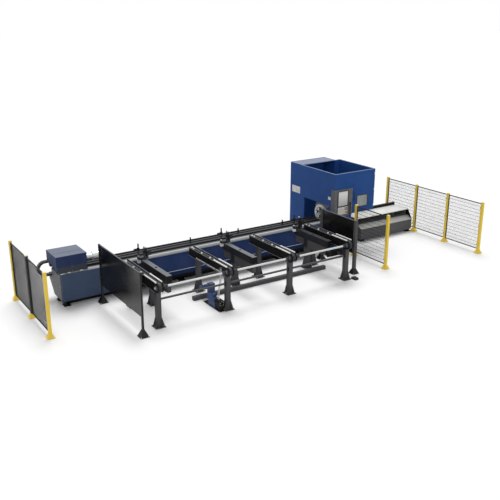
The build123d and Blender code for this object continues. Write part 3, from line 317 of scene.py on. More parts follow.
def bright_sheet(name, colour):
    """Bright satin sheet metal with long rolling lines and faint rub marks."""
    f = Finish(name, metallic=0.25, specular_ior_level=0.5)
    lines = f.noise(3.0, 4.0, 0.7, f.stretched(0.6, 60, 60))
    cloud = f.noise(1.1, 4.0)
    rubs = f.noise(5.0, 5.0, 0.75, f.stretched(0.5, 6, 6))
    tone = f.mix(lines.between(0.3, 0.75) * 0.5 + cloud * 0.4, darker(colour, 0.14), colour)
    f.set("Base Color", f.mix(rubs.between(0.6, 0.8) * 0.35, tone, darker(colour, 0.3)))
    f.set("Roughness", 0.3 + lines * 0.14 + (cloud - 0.5) * 0.12)
    f.bump(lines, 0.08, 0.0008)
    return f.material


finishes = {
    "blue_paint": painted("cabin_blue_paint", srgb(33, 79, 148)),
    # Cabin edge caps: the pale blue is a painted highlight.
    "rim_highlight_blue": painted("rim_highlight_paint", srgb(112, 136, 178), 0.4, 0.3),
    "bed_blue": bed_coat("bed_blue_paint", srgb(68, 84, 112), srgb(190, 192, 194), srgb(26, 26, 26)),
    "guide_steel": guide_steel("bed_rail_steel", srgb(206, 208, 210), srgb(44, 44, 46)),
    "skirt_grey": painted("hood_skirt_paint", srgb(64, 71, 80), 0.5, 0.14, 0.15),
    "hood_blue": painted("carriage_hood_paint", srgb(44, 60, 100), dust=0.15, top=srgb(112, 119, 136)),
    # Trough: the pale tone on its up-facing faces is a painted highlight.
    "duct_blue": painted("trough_blue_paint", srgb(26, 46, 88), 0.5, 0.1, 0.1, top=srgb(172, 175, 178)),
    # Trough fold bead: the pale paint is a painted highlight.
    "fold_highlight_paint": painted("trough_fold_highlight_paint", srgb(196, 204, 216), 0.4, 0.3),
    "black_paint": painted("loader_black_paint", srgb(18, 18, 20), 0.45, 0.1, 0.08),
    "post_paint": painted("loader_post_paint", srgb(84, 84, 86), 0.5, 0.12, 0.16),
    # Lift beams: the pale top is a painted reflection of the sky. It ends at 0.5 m along X, so the third beam
    # keeps a dark top, a painted shade.
    "lift_paint": painted("lift_beam_paint", srgb(30, 30, 32), 0.32, 0.4, 0.15, 0.05, srgb(88, 91, 97), 0.5),
    "guard_black": painted("guard_black_paint", srgb(14, 14, 16), 0.14, 0.28, 0.1, 0.03),
    # Guard edges: the mid grey is a painted highlight.
    "guard_edge_highlight": painted("guard_edge_highlight_paint", srgb(118, 118, 120), 0.4, 0.3, 0.1),
    "grey_paint": painted("roof_grey_paint", srgb(142, 150, 170), 0.5, 0.12, 0.1),
    "end_grey": painted("bed_end_grey_paint", srgb(130, 133, 133), 0.5, 0.12, 0.1),
    "panel_grey": painted("panel_grey_paint", srgb(110, 111, 115), 0.55, 0.12, 0.15, 0.18),
    "base_grey": painted("outfeed_grey_paint", srgb(100, 101, 102), 0.55, 0.12, 0.15, 0.14),
    "yellow_paint": fence_paint("fence_yellow_paint", srgb(255, 220, 74), srgb(54, 54, 54)),
    "mesh_black": painted("fence_mesh_paint", srgb(38, 39, 42), 0.5, 0.12, 0.1),
    "motor_blue": painted("motor_blue_paint", srgb(44, 70, 118), 0.36, 0.35, 0.1),
    "steel": brushed("ground_steel", srgb(214, 215, 216), "X", 0.3, 0.2),
    "stainless": bright_sheet("outfeed_stainless", srgb(240, 240, 236)),
    "chute_steel": bright_sheet("chute_steel", srgb(184, 183, 178)),
    "chuck_steel": bright_sheet("chuck_face_steel", srgb(206, 208, 210)),
    "shaft_steel": bright_sheet("drive_shaft_steel", srgb(222, 223, 224)),
    "edge_steel": bright_sheet("guide_edge_steel", srgb(168, 170, 172)),
    "dark_steel": brushed("blackened_steel", srgb(70, 71, 74), "Y", 0.42),
    "chain_steel": brushed("chain_steel", srgb(58, 58, 60), "Y", 0.42),
    "alloy": brushed("anodised_alloy", srgb(205, 207, 210), "Y", 0.36, 0.2),
    "casting": cast("housing_casting", srgb(82, 85, 90)),
    "white_plastic": moulded("white_slide_plastic", srgb(248, 248, 245), 0.42),
    "key_plastic": moulded("keypad_plastic", srgb(212, 210, 206), 0.45),
    "plate_white": moulded("blank_plate_white", srgb(226, 226, 226), 0.4, 700, 0.05),
    "black_plastic": moulded("black_plastic", srgb(32, 32, 34), 0.55),
    "seal_rubber": moulded("window_seal_rubber", srgb(40, 42, 46), 0.7, 500, 0.15),
    "grip_rubber": moulded("pedal_grip_rubber", srgb(44, 44, 46), 0.7, 500, 0.2),
    "cap_plastic": moulded("post_cap_plastic", srgb(246, 232, 168), 0.45, 500, 0.1),
    "green_plastic": moulded("start_green_plastic", srgb(40, 150, 74), 0.32, 600, 0.06),
    "red_plastic": moulded("stop_red_plastic", srgb(196, 34, 28), 0.3, 600, 0.08),
    "rubber": moulded("hose_rubber", srgb(214, 216, 218), 0.4, 500, 0.2),
    "screen": screen_face("lit_screen"),
    "window": pane("window_glass", srgb(156, 163, 164), 0.06),
}

node_finish = {
    "blue_paint": "cabin_left_wall cabin_front_wall cabin_right_wall cabin_rear_wall cabin_door",
    "bed_blue": "bed_frame",
    "end_grey": "bed_end_plate",
    "duct_blue": "trough",
    "hood_blue": "carriage_hood",
    "black_paint": "chain_tray levelling_feet carriage_saddle support_pins outfeed_end_cover outfeed_rail "
    "loader_arms pump_base",
    "post_paint": "front_pedestals rear_pedestals cross_rails floor_beam lift_posts",
    "lift_paint": "lift_beams",
    "guard_black": "left_guard right_guard",
    "grey_paint": "cabin_roof",
    "panel_grey": "operator_panel",
    "base_grey": "outfeed_base",
    "yellow_paint": "fence_posts",
    "motor_blue": "drive_motors",
    "steel": "guide_blocks rear_chuck hose_fittings",
    "stainless": "outfeed_plates",
    "chute_steel": "outfeed_chute",
    "chuck_steel": "front_chuck",
    "shaft_steel": "drive_shaft",
    "guide_steel": "bed_rails",
    "dark_steel": "support_beam chuck_jaws arm_chains clamp_brackets",
    "alloy": "gantry_beam head_carriage cutting_head",
    "casting": "spindle_housing chuck_housing",
    "white_plastic": "wear_strips clamp_blocks",
    "key_plastic": "panel_keypad",
    "black_plastic": "cable_chain grab_handle foot_switch foot_pedal",
    "red_plastic": "emergency_stop",
    "screen": "panel_screen",
    "window": "door_window",
}
for finish, names in node_finish.items():
    for node in names.split():
        nodes[node].data.materials.clear()
        nodes[node].data.materials.append(finishes[finish])


# Camera, floor and light
def stage():
    """White floor and sky that bounce less light than they show, two wide suns and the camera."""
    bpy.ops.mesh.primitive_plane_add(size=400, location=(0, 0, -0.002))
    floor = bpy.context.object
    floor.name = "floor"
    f = Finish("pale_floor", roughness=0.9, specular_ior_level=0.1)
    white = f.mix(f.noise(0.6, 2.0) * 0.2, (0.985, 0.985, 0.985), (1, 1, 1))
    f.set("Base Color", f.mix(f.shown(), (0.62, 0.62, 0.62), white))
    floor.data.materials.append(f.material)

    world = bpy.data.worlds.new("studio")
    world.use_nodes = True
    bpy.context.scene.world = world
    sky = Nodes(world.node_tree)
    light = sky.tree.nodes["Background"].inputs
    sky.put(light["Color"], (1, 1, 1, 1))
    sky.put(light["Strength"], sky.node("ShaderNodeMapRange", {}, {"Value": sky.shown(), "To Min": 0.36}))

    from_behind = (-20, 8, 0, 2.12, 35)
    from_the_camera = (78, 0, -33.4, 0.95, 60)
    for tilt, roll, turn, energy, softness in (from_behind, from_the_camera):
        bpy.ops.object.light_add(type="SUN", rotation=(radians(tilt), radians(roll), radians(turn)))
        lamp = bpy.context.object.data
        lamp.energy = energy
        lamp.angle = radians(softness)

    bpy.ops.object.camera_add(
        location=(-13.567, -20.113, 9.045), rotation=(radians(71.18), 0, radians(-33.15))
    )
    camera = bpy.context.object
    camera.data.lens = 51.6
    camera.data.sensor_width = 36
    camera.data.clip_end = 500
    bpy.context.scene.camera = camera
    bpy.context.scene.view_settings.view_transform = "Standard"


# Modelling: sizes and places below are in millimetres
def metres(values):
    return [v / 1000 for v in values]


def span(middle, reach):
    return (middle - reach, middle + reach)


def put_down():
    """Leaves edit mode and lets go of every object."""
    if bpy.context.object and bpy.context.object.mode != "OBJECT":
        bpy.ops.object.mode_set(mode="OBJECT")
    bpy.ops.object.select_all(action="DESELECT")


def take(piece):
    put_down()
    piece.select_set(True)
    bpy.context.view_layer.objects.active = piece


def settled(name):
    """Names the object just added and works its size and turn into its mesh."""
    piece = bpy.context.object
    piece.name = name
    bpy.ops.object.transform_apply(location=True, rotation=True, scale=True)
    return piece


def start_block(name, x, y, z):
    """A box between two values on each axis."""
    put_down()
    spans = (x, y, z)
    bpy.ops.mesh.primitive_cube_add(size=0.001, location=[(a + b) / 2000 for a, b in spans])
    bpy.context.object.scale = [b - a for a, b in spans]
    return settled(name)


def start_rod(name, centre, radius, length, axis, sides=32):
    """A round bar about an axis, halfway along at its centre."""
    put_down()
    turn = {"X": (0, pi / 2, 0), "Y": (pi / 2, 0, 0), "Z": (0, 0, 0)}[axis]
    bpy.ops.mesh.primitive_cylinder_add(
        vertices=sides, radius=radius / 1000, depth=length / 1000, location=metres(centre), rotation=turn
    )
    return settled(name)


def pick(piece, kind, parts, test):
    """Edit mode with only the parts of the mesh selected that pass the test."""
    take(piece)
    bpy.ops.object.mode_set(mode="EDIT")
    bpy.ops.mesh.select_mode(type=kind)
    bpy.ops.mesh.select_all(action="DESELECT")
    bpy.ops.object.mode_set(mode="OBJECT")
    for part in getattr(piece.data, parts):
        part.select = bool(test(part))
    bpy.ops.object.mode_set(mode="EDIT")


def pick_faces(piece, test):
    """Picks the faces whose centre and normal pass the test."""
    pick(piece, "FACE", "polygons", lambda face: test(face.center * 1000, face.normal))


def pick_edges(piece, test):
    """Picks the edges whose middle and direction pass the test."""

    def passes(edge):
        a, b = (piece.data.vertices[i].co for i in edge.vertices)
        return test((a + b) * 500, (b - a).normalized())

    pick(piece, "EDGE", "edges", passes)


# Tests for picking
def every(middle, direction):
    return True


def toward(axis, way):
    """Faces that look one way along an axis."""
    return lambda middle, normal: normal["XYZ".index(axis)] * way > 0.9


def along(axis):
    """Edges that run, or faces that look, along an axis."""
    return lambda middle, direction: abs(direction["XYZ".index(axis)]) > 0.9


def across(axis):
    """Edges square to an axis."""
    return lambda middle, direction: abs(direction["XYZ".index(axis)]) < 0.1


def past(axis, way, level):
    """Edges on one side of a level on an axis."""
    return lambda middle, direction: (middle["XYZ".index(axis)] - level) * way > 0


# Shaping
def inset(width, depth=0):
    bpy.ops.mesh.inset(thickness=width / 1000, depth=depth / 1000)


def extrude(axis, step):
    move = [0, 0, 0]
    move["XYZ".index(axis)] = step / 1000
    bpy.ops.mesh.extrude_region_move(TRANSFORM_OT_translate={"value": move})


def stepped(piece, axis, way, border, step):
    """Pushes one face out, or in, inside an even border, and stays in edit mode."""
    pick_faces(piece, toward(axis, way))
    inset(border)
    extrude(axis, way * step)


def panelled(piece, axis, way, border, depth):
    """Gives one face a sloped border."""
    pick_faces(piece, toward(axis, way))
    inset(border, depth)
    put_down()


def bevel(piece, width, segments, test=every):
    """Rounds the edges that pass the test."""
    pick_edges(piece, test)
    bpy.ops.mesh.bevel(offset=width / 1000, segments=segments, affect="EDGES", clamp_overlap=True)
    put_down()


def tunnel(piece, axis, wall):
    """Opens a piece right through along an axis, with a wall of that width round the hole."""
    pick_faces(piece, along(axis))
    bpy.ops.mesh.inset(thickness=wall / 1000, use_individual=True)
    bpy.ops.mesh.bridge_edge_loops()
    put_down()
    return piece


def turned(piece, angle, axis, centre):
    """Turns a piece about an axis through a point and keeps its place in its mesh."""
    take(piece)
    place = Vector(metres(centre))
    turn = Matrix.Translation(place) @ Matrix.Rotation(radians(angle), 4, axis) @ Matrix.Translation(-place)
    piece.matrix_world = turn @ piece.matrix_world
    bpy.ops.object.transform_apply(location=True, rotation=True, scale=True)
    return piece


# Joining and repeating
def joined(pieces):
    """Several pieces as one, under the first one's name."""
    put_down()
    for piece in pieces:
        piece.select_set(True)
    bpy.context.view_layer.objects.active = pieces[0]
    if len(pieces) > 1:
        bpy.ops.object.join()
    return pieces[0]


def copies(piece, moves):
    """The piece with copies of it moved by each amount."""
    made = [piece]
    for move in moves:
        take(piece)
        bpy.ops.object.duplicate()
        bpy.ops.transform.translate(value=metres(move))
        made.append(bpy.context.object)
    return joined(made)


def repeated(piece, spots):
    """The piece, made at the first spot, with copies at the others."""
    first = Vector(spots[0])
    return copies(piece, [(Vector(spot) - first).to_3d() for spot in spots[1:]])


def spun(piece, count, axis, centre, step=None):
    """The piece repeated round an axis, evenly unless a step in degrees is given."""
    made = [piece]
    for i in range(1, count):
        take(piece)
        bpy.ops.object.duplicate()
        made.append(turned(bpy.context.object, i * (step or 360 / count), axis, centre))
    return joined(made)


def row(piece, count, step):
    """The piece repeated in a straight row."""
    take(piece)
    made = piece.modifiers.new("row", "ARRAY")
    made.use_relative_offset = False
    made.use_constant_offset = True
    made.count = count
    made.constant_offset_displace = metres(step)
    bpy.ops.object.modifier_apply(modifier=made.name)
    return piece


def done(piece, finish, slot=None, body="frame"):
    """Shades, paints and hangs a piece on its body. The slot argument is not used."""
    slot = slot or finish
    take(piece)
    bpy.ops.object.shade_smooth_by_angle(angle=radians(35))
    piece.data.materials.clear()
    piece.data.materials.append(finishes[finish])
    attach(piece, body)
    return piece


# Stock parts
def ring(name, centre, outer, inner, length, axis, sides=32):
    """A round tube about an axis."""
    rod = start_rod(name, centre, outer, length, axis, sides)
    return tunnel(rod, axis, (outer - inner) * cos(pi / sides))


def socket_screw(name, foot, radius, height, axis, way):
    """A round screw head with a hexagon socket sunk in its face."""
    middle = list(foot)
    middle["XYZ".index(axis)] += way * height / 2
    head = start_rod(name, middle, radius, height, axis, 18)
    pick_faces(head, toward(axis, way))
    inset(radius * 0.12, height * 0.12)
    inset(radius * 0.34)
    extrude(axis, -way * height * 0.5)
    put_down()
    return head


def screws_at(name, spots, radius, height, axis, way):
    """Socket screws at several spots."""
    return repeated(socket_screw(name, spots[0], radius, height, axis, way), spots)


# Places that several pieces share
tube_y, tube_z = 1075, 1370
shaft_y, shaft_z = -2455, 1290
pump_x, pump_z = -3040, 250
arm_places = (-5190, -2790, -390, 2010)
arm_cheek = 90
lift_places = (-4580, -1490, 1600)
front_post_y, rear_post_y, lift_post_y = -2325, -475, -680
guard_legs = ((-5870, -2695), (-5870, 325), (2650, -2055), (2650, -185))
fences = ((-8140, (2095, 395, -1305)), (3930, (-615, -2315)), (8140, (2120, 420, -1280, -2980)))
panel_start, panel_end = 45, 1655
fence_posts = [(x, y) for x, ys in fences for y in ys]
fence_places = [(x, y) for x, ys in fences for y in ys[1:]]


def at_arms(piece):
    """The piece, made at the first arm, at all four."""
    return repeated(piece, [(x, 0) for x in arm_places])


def at_lifts(piece):
    """The piece, made at the first lift, at all three."""
    return repeated(piece, [(x, 0) for x in lift_places])


def corners(x, y, reach):
    """The corners of a square about a point."""
    return [(x + a, y + b) for a in (-reach, reach) for b in (-reach, reach)]


# Hoses from the second arm to the pump
def pump_hoses():
    """Two hanging hoses, as curves."""
    top = -2918
    for name, offset, length in (("pump_hose_front", -35, 0.957), ("pump_hose_back", 35, 0.888)):
        y, z = -2105 + offset, 1280 - offset
        route = [(top, y, z), (top, y - 80, z - 150), (pump_x, y - 80, 528), (pump_x, y - 80, 378)]
        line = bpy.data.curves.new(name + "_hose", "CURVE")
        line.dimensions = "3D"
        spline = line.splines.new("NURBS")
        spline.points.add(len(route) - 1)
        for point, place in zip(spline.points, route):
            point.co = (*metres(place), 1)
        spline.order_u = 3
        spline.use_endpoint_u = True
        spline.resolution_u = 16
        line.bevel_depth = 0.012
        line.bevel_resolution = 5
        line.use_fill_caps = True
        line.materials.append(finishes["rubber"])
        hose = bpy.data.objects.new(name + "_hose", line)
        bpy.context.scene.collection.objects.link(hose)
        start = metres(route[0])
        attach(hose, "frame")
        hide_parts(name)


# Fences
def fence_meshes():
    """Fence panels: a tube frame with cross rods and close fine uprights."""
    x, y = fence_places[0]
    bottom, top, rods = 150, 1960, 12
    pitch = (top - bottom) / (rods + 1)
    start, end = y + panel_start, y + panel_end
    frame_tube = start_block("fence_meshes", span(x, 15), (start, end), (bottom, top))
    tunnel(frame_tube, "X", 30)
    bevel(frame_tube, 3, 2)
    level = bottom + pitch
    rod = start_block("fence_rods", span(x, 4), (start + 29, end - 29), span(level, 5))
    bevel(rod, 2, 1)
    row(rod, rods, (0, 0, pitch))
    first = start + 48
    upright = start_block("fence_uprights", (x - 8, x - 4), (first, first + 2.8), (bottom + 28, top - 28))
    bevel(upright, 0.9, 1)
    row(upright, 77, (0, 20, 0))
    panels = repeated(joined([frame_tube, rod, upright]), fence_places)
    done(panels, "mesh_black")
    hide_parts("fence_panels")


def fence_caps():
    """A pressed cap in the top of each post."""
    x, y = fence_posts[0]
    cap = start_block("fence_caps", span(x, 47), span(y, 47), (1998, 2012))
    stepped(cap, "Z", 1, 14, 5)
    bevel(cap, 3, 2)
    done(repeated(cap, fence_posts), "cap_plastic", "yellow_paint")


def fence_clips():
    """Bolted clips that hold the panels to the posts."""
    x, y = fence_places[0]
    clips = []
    for side, way in ((y + panel_start, 1), (y + panel_end, -1)):
        clip = start_block("fence_clips", (x - 26, x - 15), sorted((side, side + way * 46)), (320, 366))
        bevel(clip, 3, 2)
        head = start_rod("clip_bolts", (x - 29, side + way * 23, 343), 9, 8, "X", 6)
        panelled(head, "X", -1, 2, 1)
        clips.append(row(joined([clip, head]), 3, (0, 0, 715)))
    done(repeated(joined(clips), fence_places), "dark_steel")


def floor_anchors():
    """Anchor bolts with washers in every base plate."""
    places = []
    for x, y in fence_posts:
        places += corners(x, y, 95)
    for x in arm_places:
        places += [(x - 130, front_post_y), (x + 130, front_post_y)] + corners(x, rear_post_y, 130)
    for x in lift_places:
        places += corners(x, lift_post_y, 130)
    for x, y in guard_legs:
        places += corners(x, y, 118)
    washer = start_rod("floor_anchors", (*places[0], 22), 18.75, 4, "Z", 16)
    head = start_rod("anchor_head", (*places[0], 30), 15, 12, "Z", 6)
    panelled(head, "Z", 1, 3.75, 2)
    done(repeated(joined([washer, head]), places), "steel")


# Cutting cabin
def door_fittings():
    """Grip, window seal and hinges of the cabin door."""
    face, reach = 245, 29
    bottom, top, foot = 1900, 2210, 34
    grip = start_block("door_grip", (4536, 4562), (face - reach - 20, face - reach), (bottom, top))
    for level in (bottom + foot, top - foot):
        pick_faces(grip, every)
        bpy.ops.mesh.bisect(plane_co=(0, 0, level / 1000), plane_no=(0, 0, 1))
    pick_faces(grip, lambda middle, normal: normal.y > 0.9 and not bottom + foot < middle.z < top - foot)
    extrude("Y", reach)
    bevel(grip, 5, 3, past("Y", -1, face - 2))
    done(grip, "black_plastic", body="cabin_door")

    seal = start_block("window_seal", (4690, 5259), (face - 8, face + 1), (1598, 2072))
    tunnel(seal, "Y", 24)
    bevel(seal, 3, 2, past("Y", -1, face - 5))
    done(seal, "seal_rubber", "black_plastic", "cabin_door")

    barrel = start_rod("door_hinges", (5549, face - 9, 1570), 8, 96, "Z", 20)
    bevel(barrel, 1.5, 1, across("Z"))
    leaf = start_block("hinge_leaf", (5552, 5577), (face - 4.5, face + 0.2), (1526, 1614))
    bevel(leaf, 2, 2)
    screws = screws_at("hinge_screw", [(5567, face - 4.5, z) for z in (1540, 1600)], 5, 3, "Y", -1)
    hinge = joined([barrel, leaf, screws])
    done(copies(hinge, [(0, 0, 640), (0, 0, 1280)]), "steel")


def cabin_trim():
    """Folded edge caps round the open top, pale blue as a painted highlight along the top edges, and two
    blank plates on the infeed wall.
    """
    cap = start_block("cabin_rim", (3577, 5583), (242, 2388), (3018, 3034))
    tunnel(cap, "Z", 48)
    bevel(cap, 5, 2, past("Z", 1, 3030))
    done(cap, "rim_highlight_blue", "blue_paint")

    back = start_block("roof_rim", (3577, 5313), (2390, 3098), (3030, 3036))
    tunnel(back, "Z", 30)
    bevel(back, 2, 2, past("Z", 1, 3034))
    done(back, "rim_highlight_blue", "blue_paint")

    wall, border = 3580, 18
    for name, y, z in (("wall_plate", (2430, 2960), (1835, 2110)), ("chuck_plate", (478, 640), (1985, 2100))):
        plate = start_block(name, (wall - 4, wall + 0.5), y, z)
        bevel(plate, 14, 4, along("X"))
        panelled(plate, "X", -1, 10, 1.2)
        ys, zs = ((low + border, high - border) for low, high in (y, z))
        spots = [(wall - 6.5, a, b) for a in ys for b in zs]
        rivet = start_rod("plate_rivet", spots[0], 6, 3, "X", 14)
        bevel(rivet, 1, 2)
        done(joined([plate, repeated(rivet, spots)]), "plate_white", "white_plastic")


def operator_fittings():
    """Screen and keypad surrounds, push buttons, stop collar and edge screws on the operator panel."""
    face = 220
    bezel = start_block("screen_surround", (3694, 4246), (face - 14, face + 0.5), (1744, 2356))
    tunnel(bezel, "Y", 30)
    bevel(bezel, 5, 3, past("Y", -1, face - 10))
    done(bezel, "black_plastic")

    surround = start_block("keypad_surround", (3706, 4224), (face - 12, face + 0.5), (1411, 1739))
    tunnel(surround, "Y", 17)
    bevel(surround, 4, 2, past("Y", -1, face - 10))
    done(surround, "dark_steel")

    for name, finish, slot, places in (
        ("start_button", "green_plastic", "white_plastic", [(4085, 1672)]),
        ("push_buttons", "black_plastic", "black_plastic", [(4150, 1672), (4085, 1614), (4150, 1614)]),
    ):
        spots = [(x, face - 17, z) for x, z in places]
        button = start_rod(name, spots[0], 20, 14, "Y", 28)
        stepped(button, "Y", -1, 4, 7)
        inset(3, 2)
        bevel(button, 1.2, 2, past("Y", -1, face - 20))
        done(repeated(button, spots), finish, slot)

    collar = ring("stop_collar", (4135, face - 12, 1500), 44, 32, 8, "Y", 36)
    bevel(collar, 2, 2, past("Y", -1, face - 14))
    done(collar, "yellow_paint")

    spots = [(x, face, z) for x in (3580, 4415) for z in (1375, 1730, 2080, 2390)]
    done(screws_at("panel_screws", spots, 8, 5, "Y", -1), "steel")


# Feed carriage and chucks
def hood_fittings():
    """Lid, grey front skirt, screws and pale wipers of the carriage hood."""
    top, front = 1690, 595
    lid = start_block("hood_lid", (-7150, -6250), (960, 1500), (top, top + 4))
    bevel(lid, 18, 3, along("Z"))
    panelled(lid, "Z", 1, 14, 2)
    done(lid, "hood_blue", "blue_paint", "feed_carriage")

    cover = start_block("hood_cover", (-7194, -6206), (front - 4, front + 0.3), (1134, 1345))
    bevel(cover, 12, 3, along("Y"))
    panelled(cover, "Y", -1, 14, 1.5)
    done(cover, "skirt_grey", "grey_paint", "feed_carriage")

    spots = [(x, front - 4, z) for x in (-7172, -6700, -6228) for z in (1166, 1323)]
    done(screws_at("hood_screws", spots, 7, 5, "Y", -1), "steel", body="feed_carriage")

    wiper = start_block("rail_wipers", (-6850, -6770), (front - 17, front + 1), (1122, 1150))
    stepped(wiper, "Y", -1, 6, 7)
    bevel(wiper, 2, 2)
    done(copies(wiper, [(400, 0, 0)]), "white_plastic", body="feed_carriage")


def chuck_screws():
    """Screws on the faces of both chucks, and stepped pads on the front jaws."""
    centre = (0, tube_y, tube_z)
    front, jaw, rear = 3535, 3490, -5620
    screw = socket_screw("front_chuck_screws", (front, tube_y, tube_z + 270), 13, 9, "X", -1)
    done(spun(screw, 12, "X", centre), "dark_steel", body="front_chuck")

    pad = start_block("jaw_pads", (jaw - 12, jaw + 0.5), span(tube_y, 28), (tube_z + 120, tube_z + 195))
    stepped(pad, "X", -1, 9, 8)
    bevel(pad, 2.5, 2)
    bolt = socket_screw("jaw_bolt", (jaw - 20, tube_y, tube_z + 160), 11, 7, "X", -1)
    done(spun(joined([pad, bolt]), 4, "X", centre), "steel", body="front_chuck")

    screw = socket_screw("rear_chuck_screws", (rear, tube_y, tube_z + 104), 8, 6, "X", 1)
    turned(screw, 45, "X", centre)
    done(spun(screw, 4, "X", centre), "dark_steel", body="rear_chuck")


# Chain loader
def arm_bearings():
    """Flange bearings on both cheeks of every arm, where the drive shaft comes through."""
    centre = (0, shaft_y, shaft_z)
    both = []
    for way in (-1, 1):
        face = arm_places[0] + way * arm_cheek
        flange = ring("arm_bearings", (face + way * 7, shaft_y, shaft_z), 84, 35, 14, "X")
        boss = ring("bearing_boss", (face + way * 24, shaft_y, shaft_z), 54, 35, 22, "X")
        bevel(boss, 4, 2, lambda middle, direction: abs(direction.x) < 0.1 and abs(middle.x - face) > 30)
        screw = socket_screw("bearing_screw", (face + way * 14, shaft_y, shaft_z + 69), 8, 8, "X", way)
        screws = turned(spun(screw, 4, "X", centre), 45, "X", centre)
        both.append(joined([flange, boss, screws]))
    done(at_arms(joined(both)), "casting")


def shaft_couplings():
    """Clamp couplings on the drive shaft, on every side of an arm that faces another arm."""
    start = arm_places[0] + 150
    centre = (start + 60, shaft_y, shaft_z)

    def outer_rim(middle, direction):
        return abs(direction.x) < 0.1 and (middle.y - shaft_y) ** 2 + (middle.z - shaft_z) ** 2 > 45**2

    body = ring("shaft_couplings", centre, 56, 32.4, 120, "X")
    bevel(body, 6, 2, outer_rim)
    collar = ring("coupling_collar", centre, 60, 50, 16, "X")
    spots = [(start + a, shaft_y - 25, shaft_z + 45) for a in (26, 94)]
    screws = screws_at("coupling_screw", spots, 8, 10, "Z", 1)
    coupling = joined([body, collar, screws])
    places = [(x + 150, 0) for x in arm_places[:3]] + [(x - 270, 0) for x in arm_places[1:]]
    done(repeated(coupling, places), "dark_steel", body="drive_shaft")


def chain_guides():
    """Bright edge strips along the flanges of every arm; the low strip on the lower flange is a painted
    highlight along its edge.
    """
    x = arm_places[0]
    side = (x - 114, x - 109.7)
    front, rear = -1640, -30
    left = start_block("chain_guides", side, (front, rear), (1424, 1438))
    low = start_block("low_edge_highlight", side, (-2400, rear), (1142, 1152))
    right = start_block("right_guide", (x + 97, x + 107), (front, rear), (1439.7, 1445))
    for strip in (left, low, right):
        bevel(strip, 1.5, 2)
    done(at_arms(joined([left, low, right])), "edge_steel", "steel")


def chain_links():
    """Side plates and pins of the loader chains along their top run."""
    x, start = arm_places[0], -2452
    plate = start_block("chain_links", (x + 44, x + 49), (start, start + 88), (1408, 1434))
    bevel(plate, 12.5, 4, along("X"))
    plates = copies(plate, [(-93, 0, 0)])
    pin = start_rod("chain_pin", (x, start + 14, 1421), 6, 112, "X", 10)
    bevel(pin, 1.5, 1, across("X"))
    done(at_arms(row(joined([plates, pin]), 23, (0, 95, 0))), "chain_steel", "dark_steel")


def arm_screws():
    """Screws through the arm cheeks into the spacers, on both sides."""
    sides = []
    for way in (-1, 1):
        face = arm_places[0] + way * arm_cheek
        pair = screws_at("arm_screws", [(face, -2155, z) for z in (1240, 1340)], 10, 9, "X", way)
        sides.append(row(pair, 4, (0, 640, 0)))
    done(at_arms(joined(sides)), "dark_steel")


def rail_brackets():
    """Bolted end plates where the cross rails meet the front posts."""
    y, z = front_post_y, 870

    def outer_edge(middle, direction):
        return abs(middle.y - y) > 50 or abs(middle.z - z) > 45

    ends = []
    for x, way in ((arm_places[0] + 75, 1), (arm_places[1] - 75, -1)):
        face = x + way * 10
        plate = start_block("rail_brackets", sorted((x, face)), span(y, 60), span(z, 55))
        tunnel(plate, "X", 29.6)
        bevel(plate, 2.5, 2, outer_edge)
        spots = [(face, y + a, z + b) for a in (-45, 45) for b in (-41, 41)]
        ends.append(joined([plate, screws_at("bracket_bolt", spots, 7, 7, "X", way)]))
    done(repeated(joined(ends), [(x, 0) for x in arm_places[:3]]), "black_paint")


def arm_pipes():
    """Two bright pipes in clips along the second arm, from its hose fittings to its rear end."""
    face = arm_places[1] - arm_cheek
    end, radius = -520, 8.5
    pipes = []
    for bend, low, high in ((-2110, 1196, 1300), (-2040, 1170, 1230)):
        pipe = start_rod("arm_pipes", (face - radius, (bend + end) / 2, low), radius, end - bend, "Y", 16)
        pick_faces(pipe, toward("Y", -1))
        bpy.ops.mesh.spin(steps=8, angle=pi / 2, center=metres((face, bend, low + 30)), axis=(1, 0, 0))
        extrude("Z", high - low - 30)
        bpy.ops.mesh.select_all(action="SELECT")
        bpy.ops.mesh.normals_make_consistent(inside=False)
        put_down()
        pipes.append(pipe)
    done(joined(pipes), "shaft_steel", "steel")

    clip = start_block("pipe_clips", (face - 19, face), (-1790, -1760), (1150, 1216))
    bevel(clip, 6, 3, past("X", -1, face - 2))
    screw = socket_screw("clip_screw", (face - 19, -1775, 1183), 5, 4, "X", -1)
    done(row(joined([clip, screw]), 3, (0, 560, 0)), "black_plastic")


def shaft_motor():
    """Ribbed motor with its gear box, hung on the last front post below the drive shaft."""
    post, y, z = arm_places[3] - 75, front_post_y, 1070
    neck = start_block("shaft_motor", (post - 49, post), span(y, 60), (970, 1110))
    bevel(neck, 6, 2)
    start = post - 245
    gears = start_block("gear_box", (start, post - 47), span(y, 100), (960, 1180))
    stepped(gears, "Y", -1, 24, 12)
    bevel(gears, 10, 3)
    body = start_rod("motor_body", (start - 205, y, z), 98, 410, "X")
    fin = ring("motor_fin", (start - 34, y, z), 112, 96, 8, "X")
    row(fin, 14, (-26, 0, 0))
    cowl = start_rod("motor_cowl", (start - 455, y, z), 108, 90, "X")
    stepped(cowl, "X", -1, 26, -10)
    bevel(cowl, 6, 3, across("X"))
    box = start_block("motor_box", (start - 190, start - 70), (y - 150, y - 96), span(z, 55))
    bevel(box, 7, 2)
    done(joined([neck, gears, body, fin, cowl, box]), "black_paint")


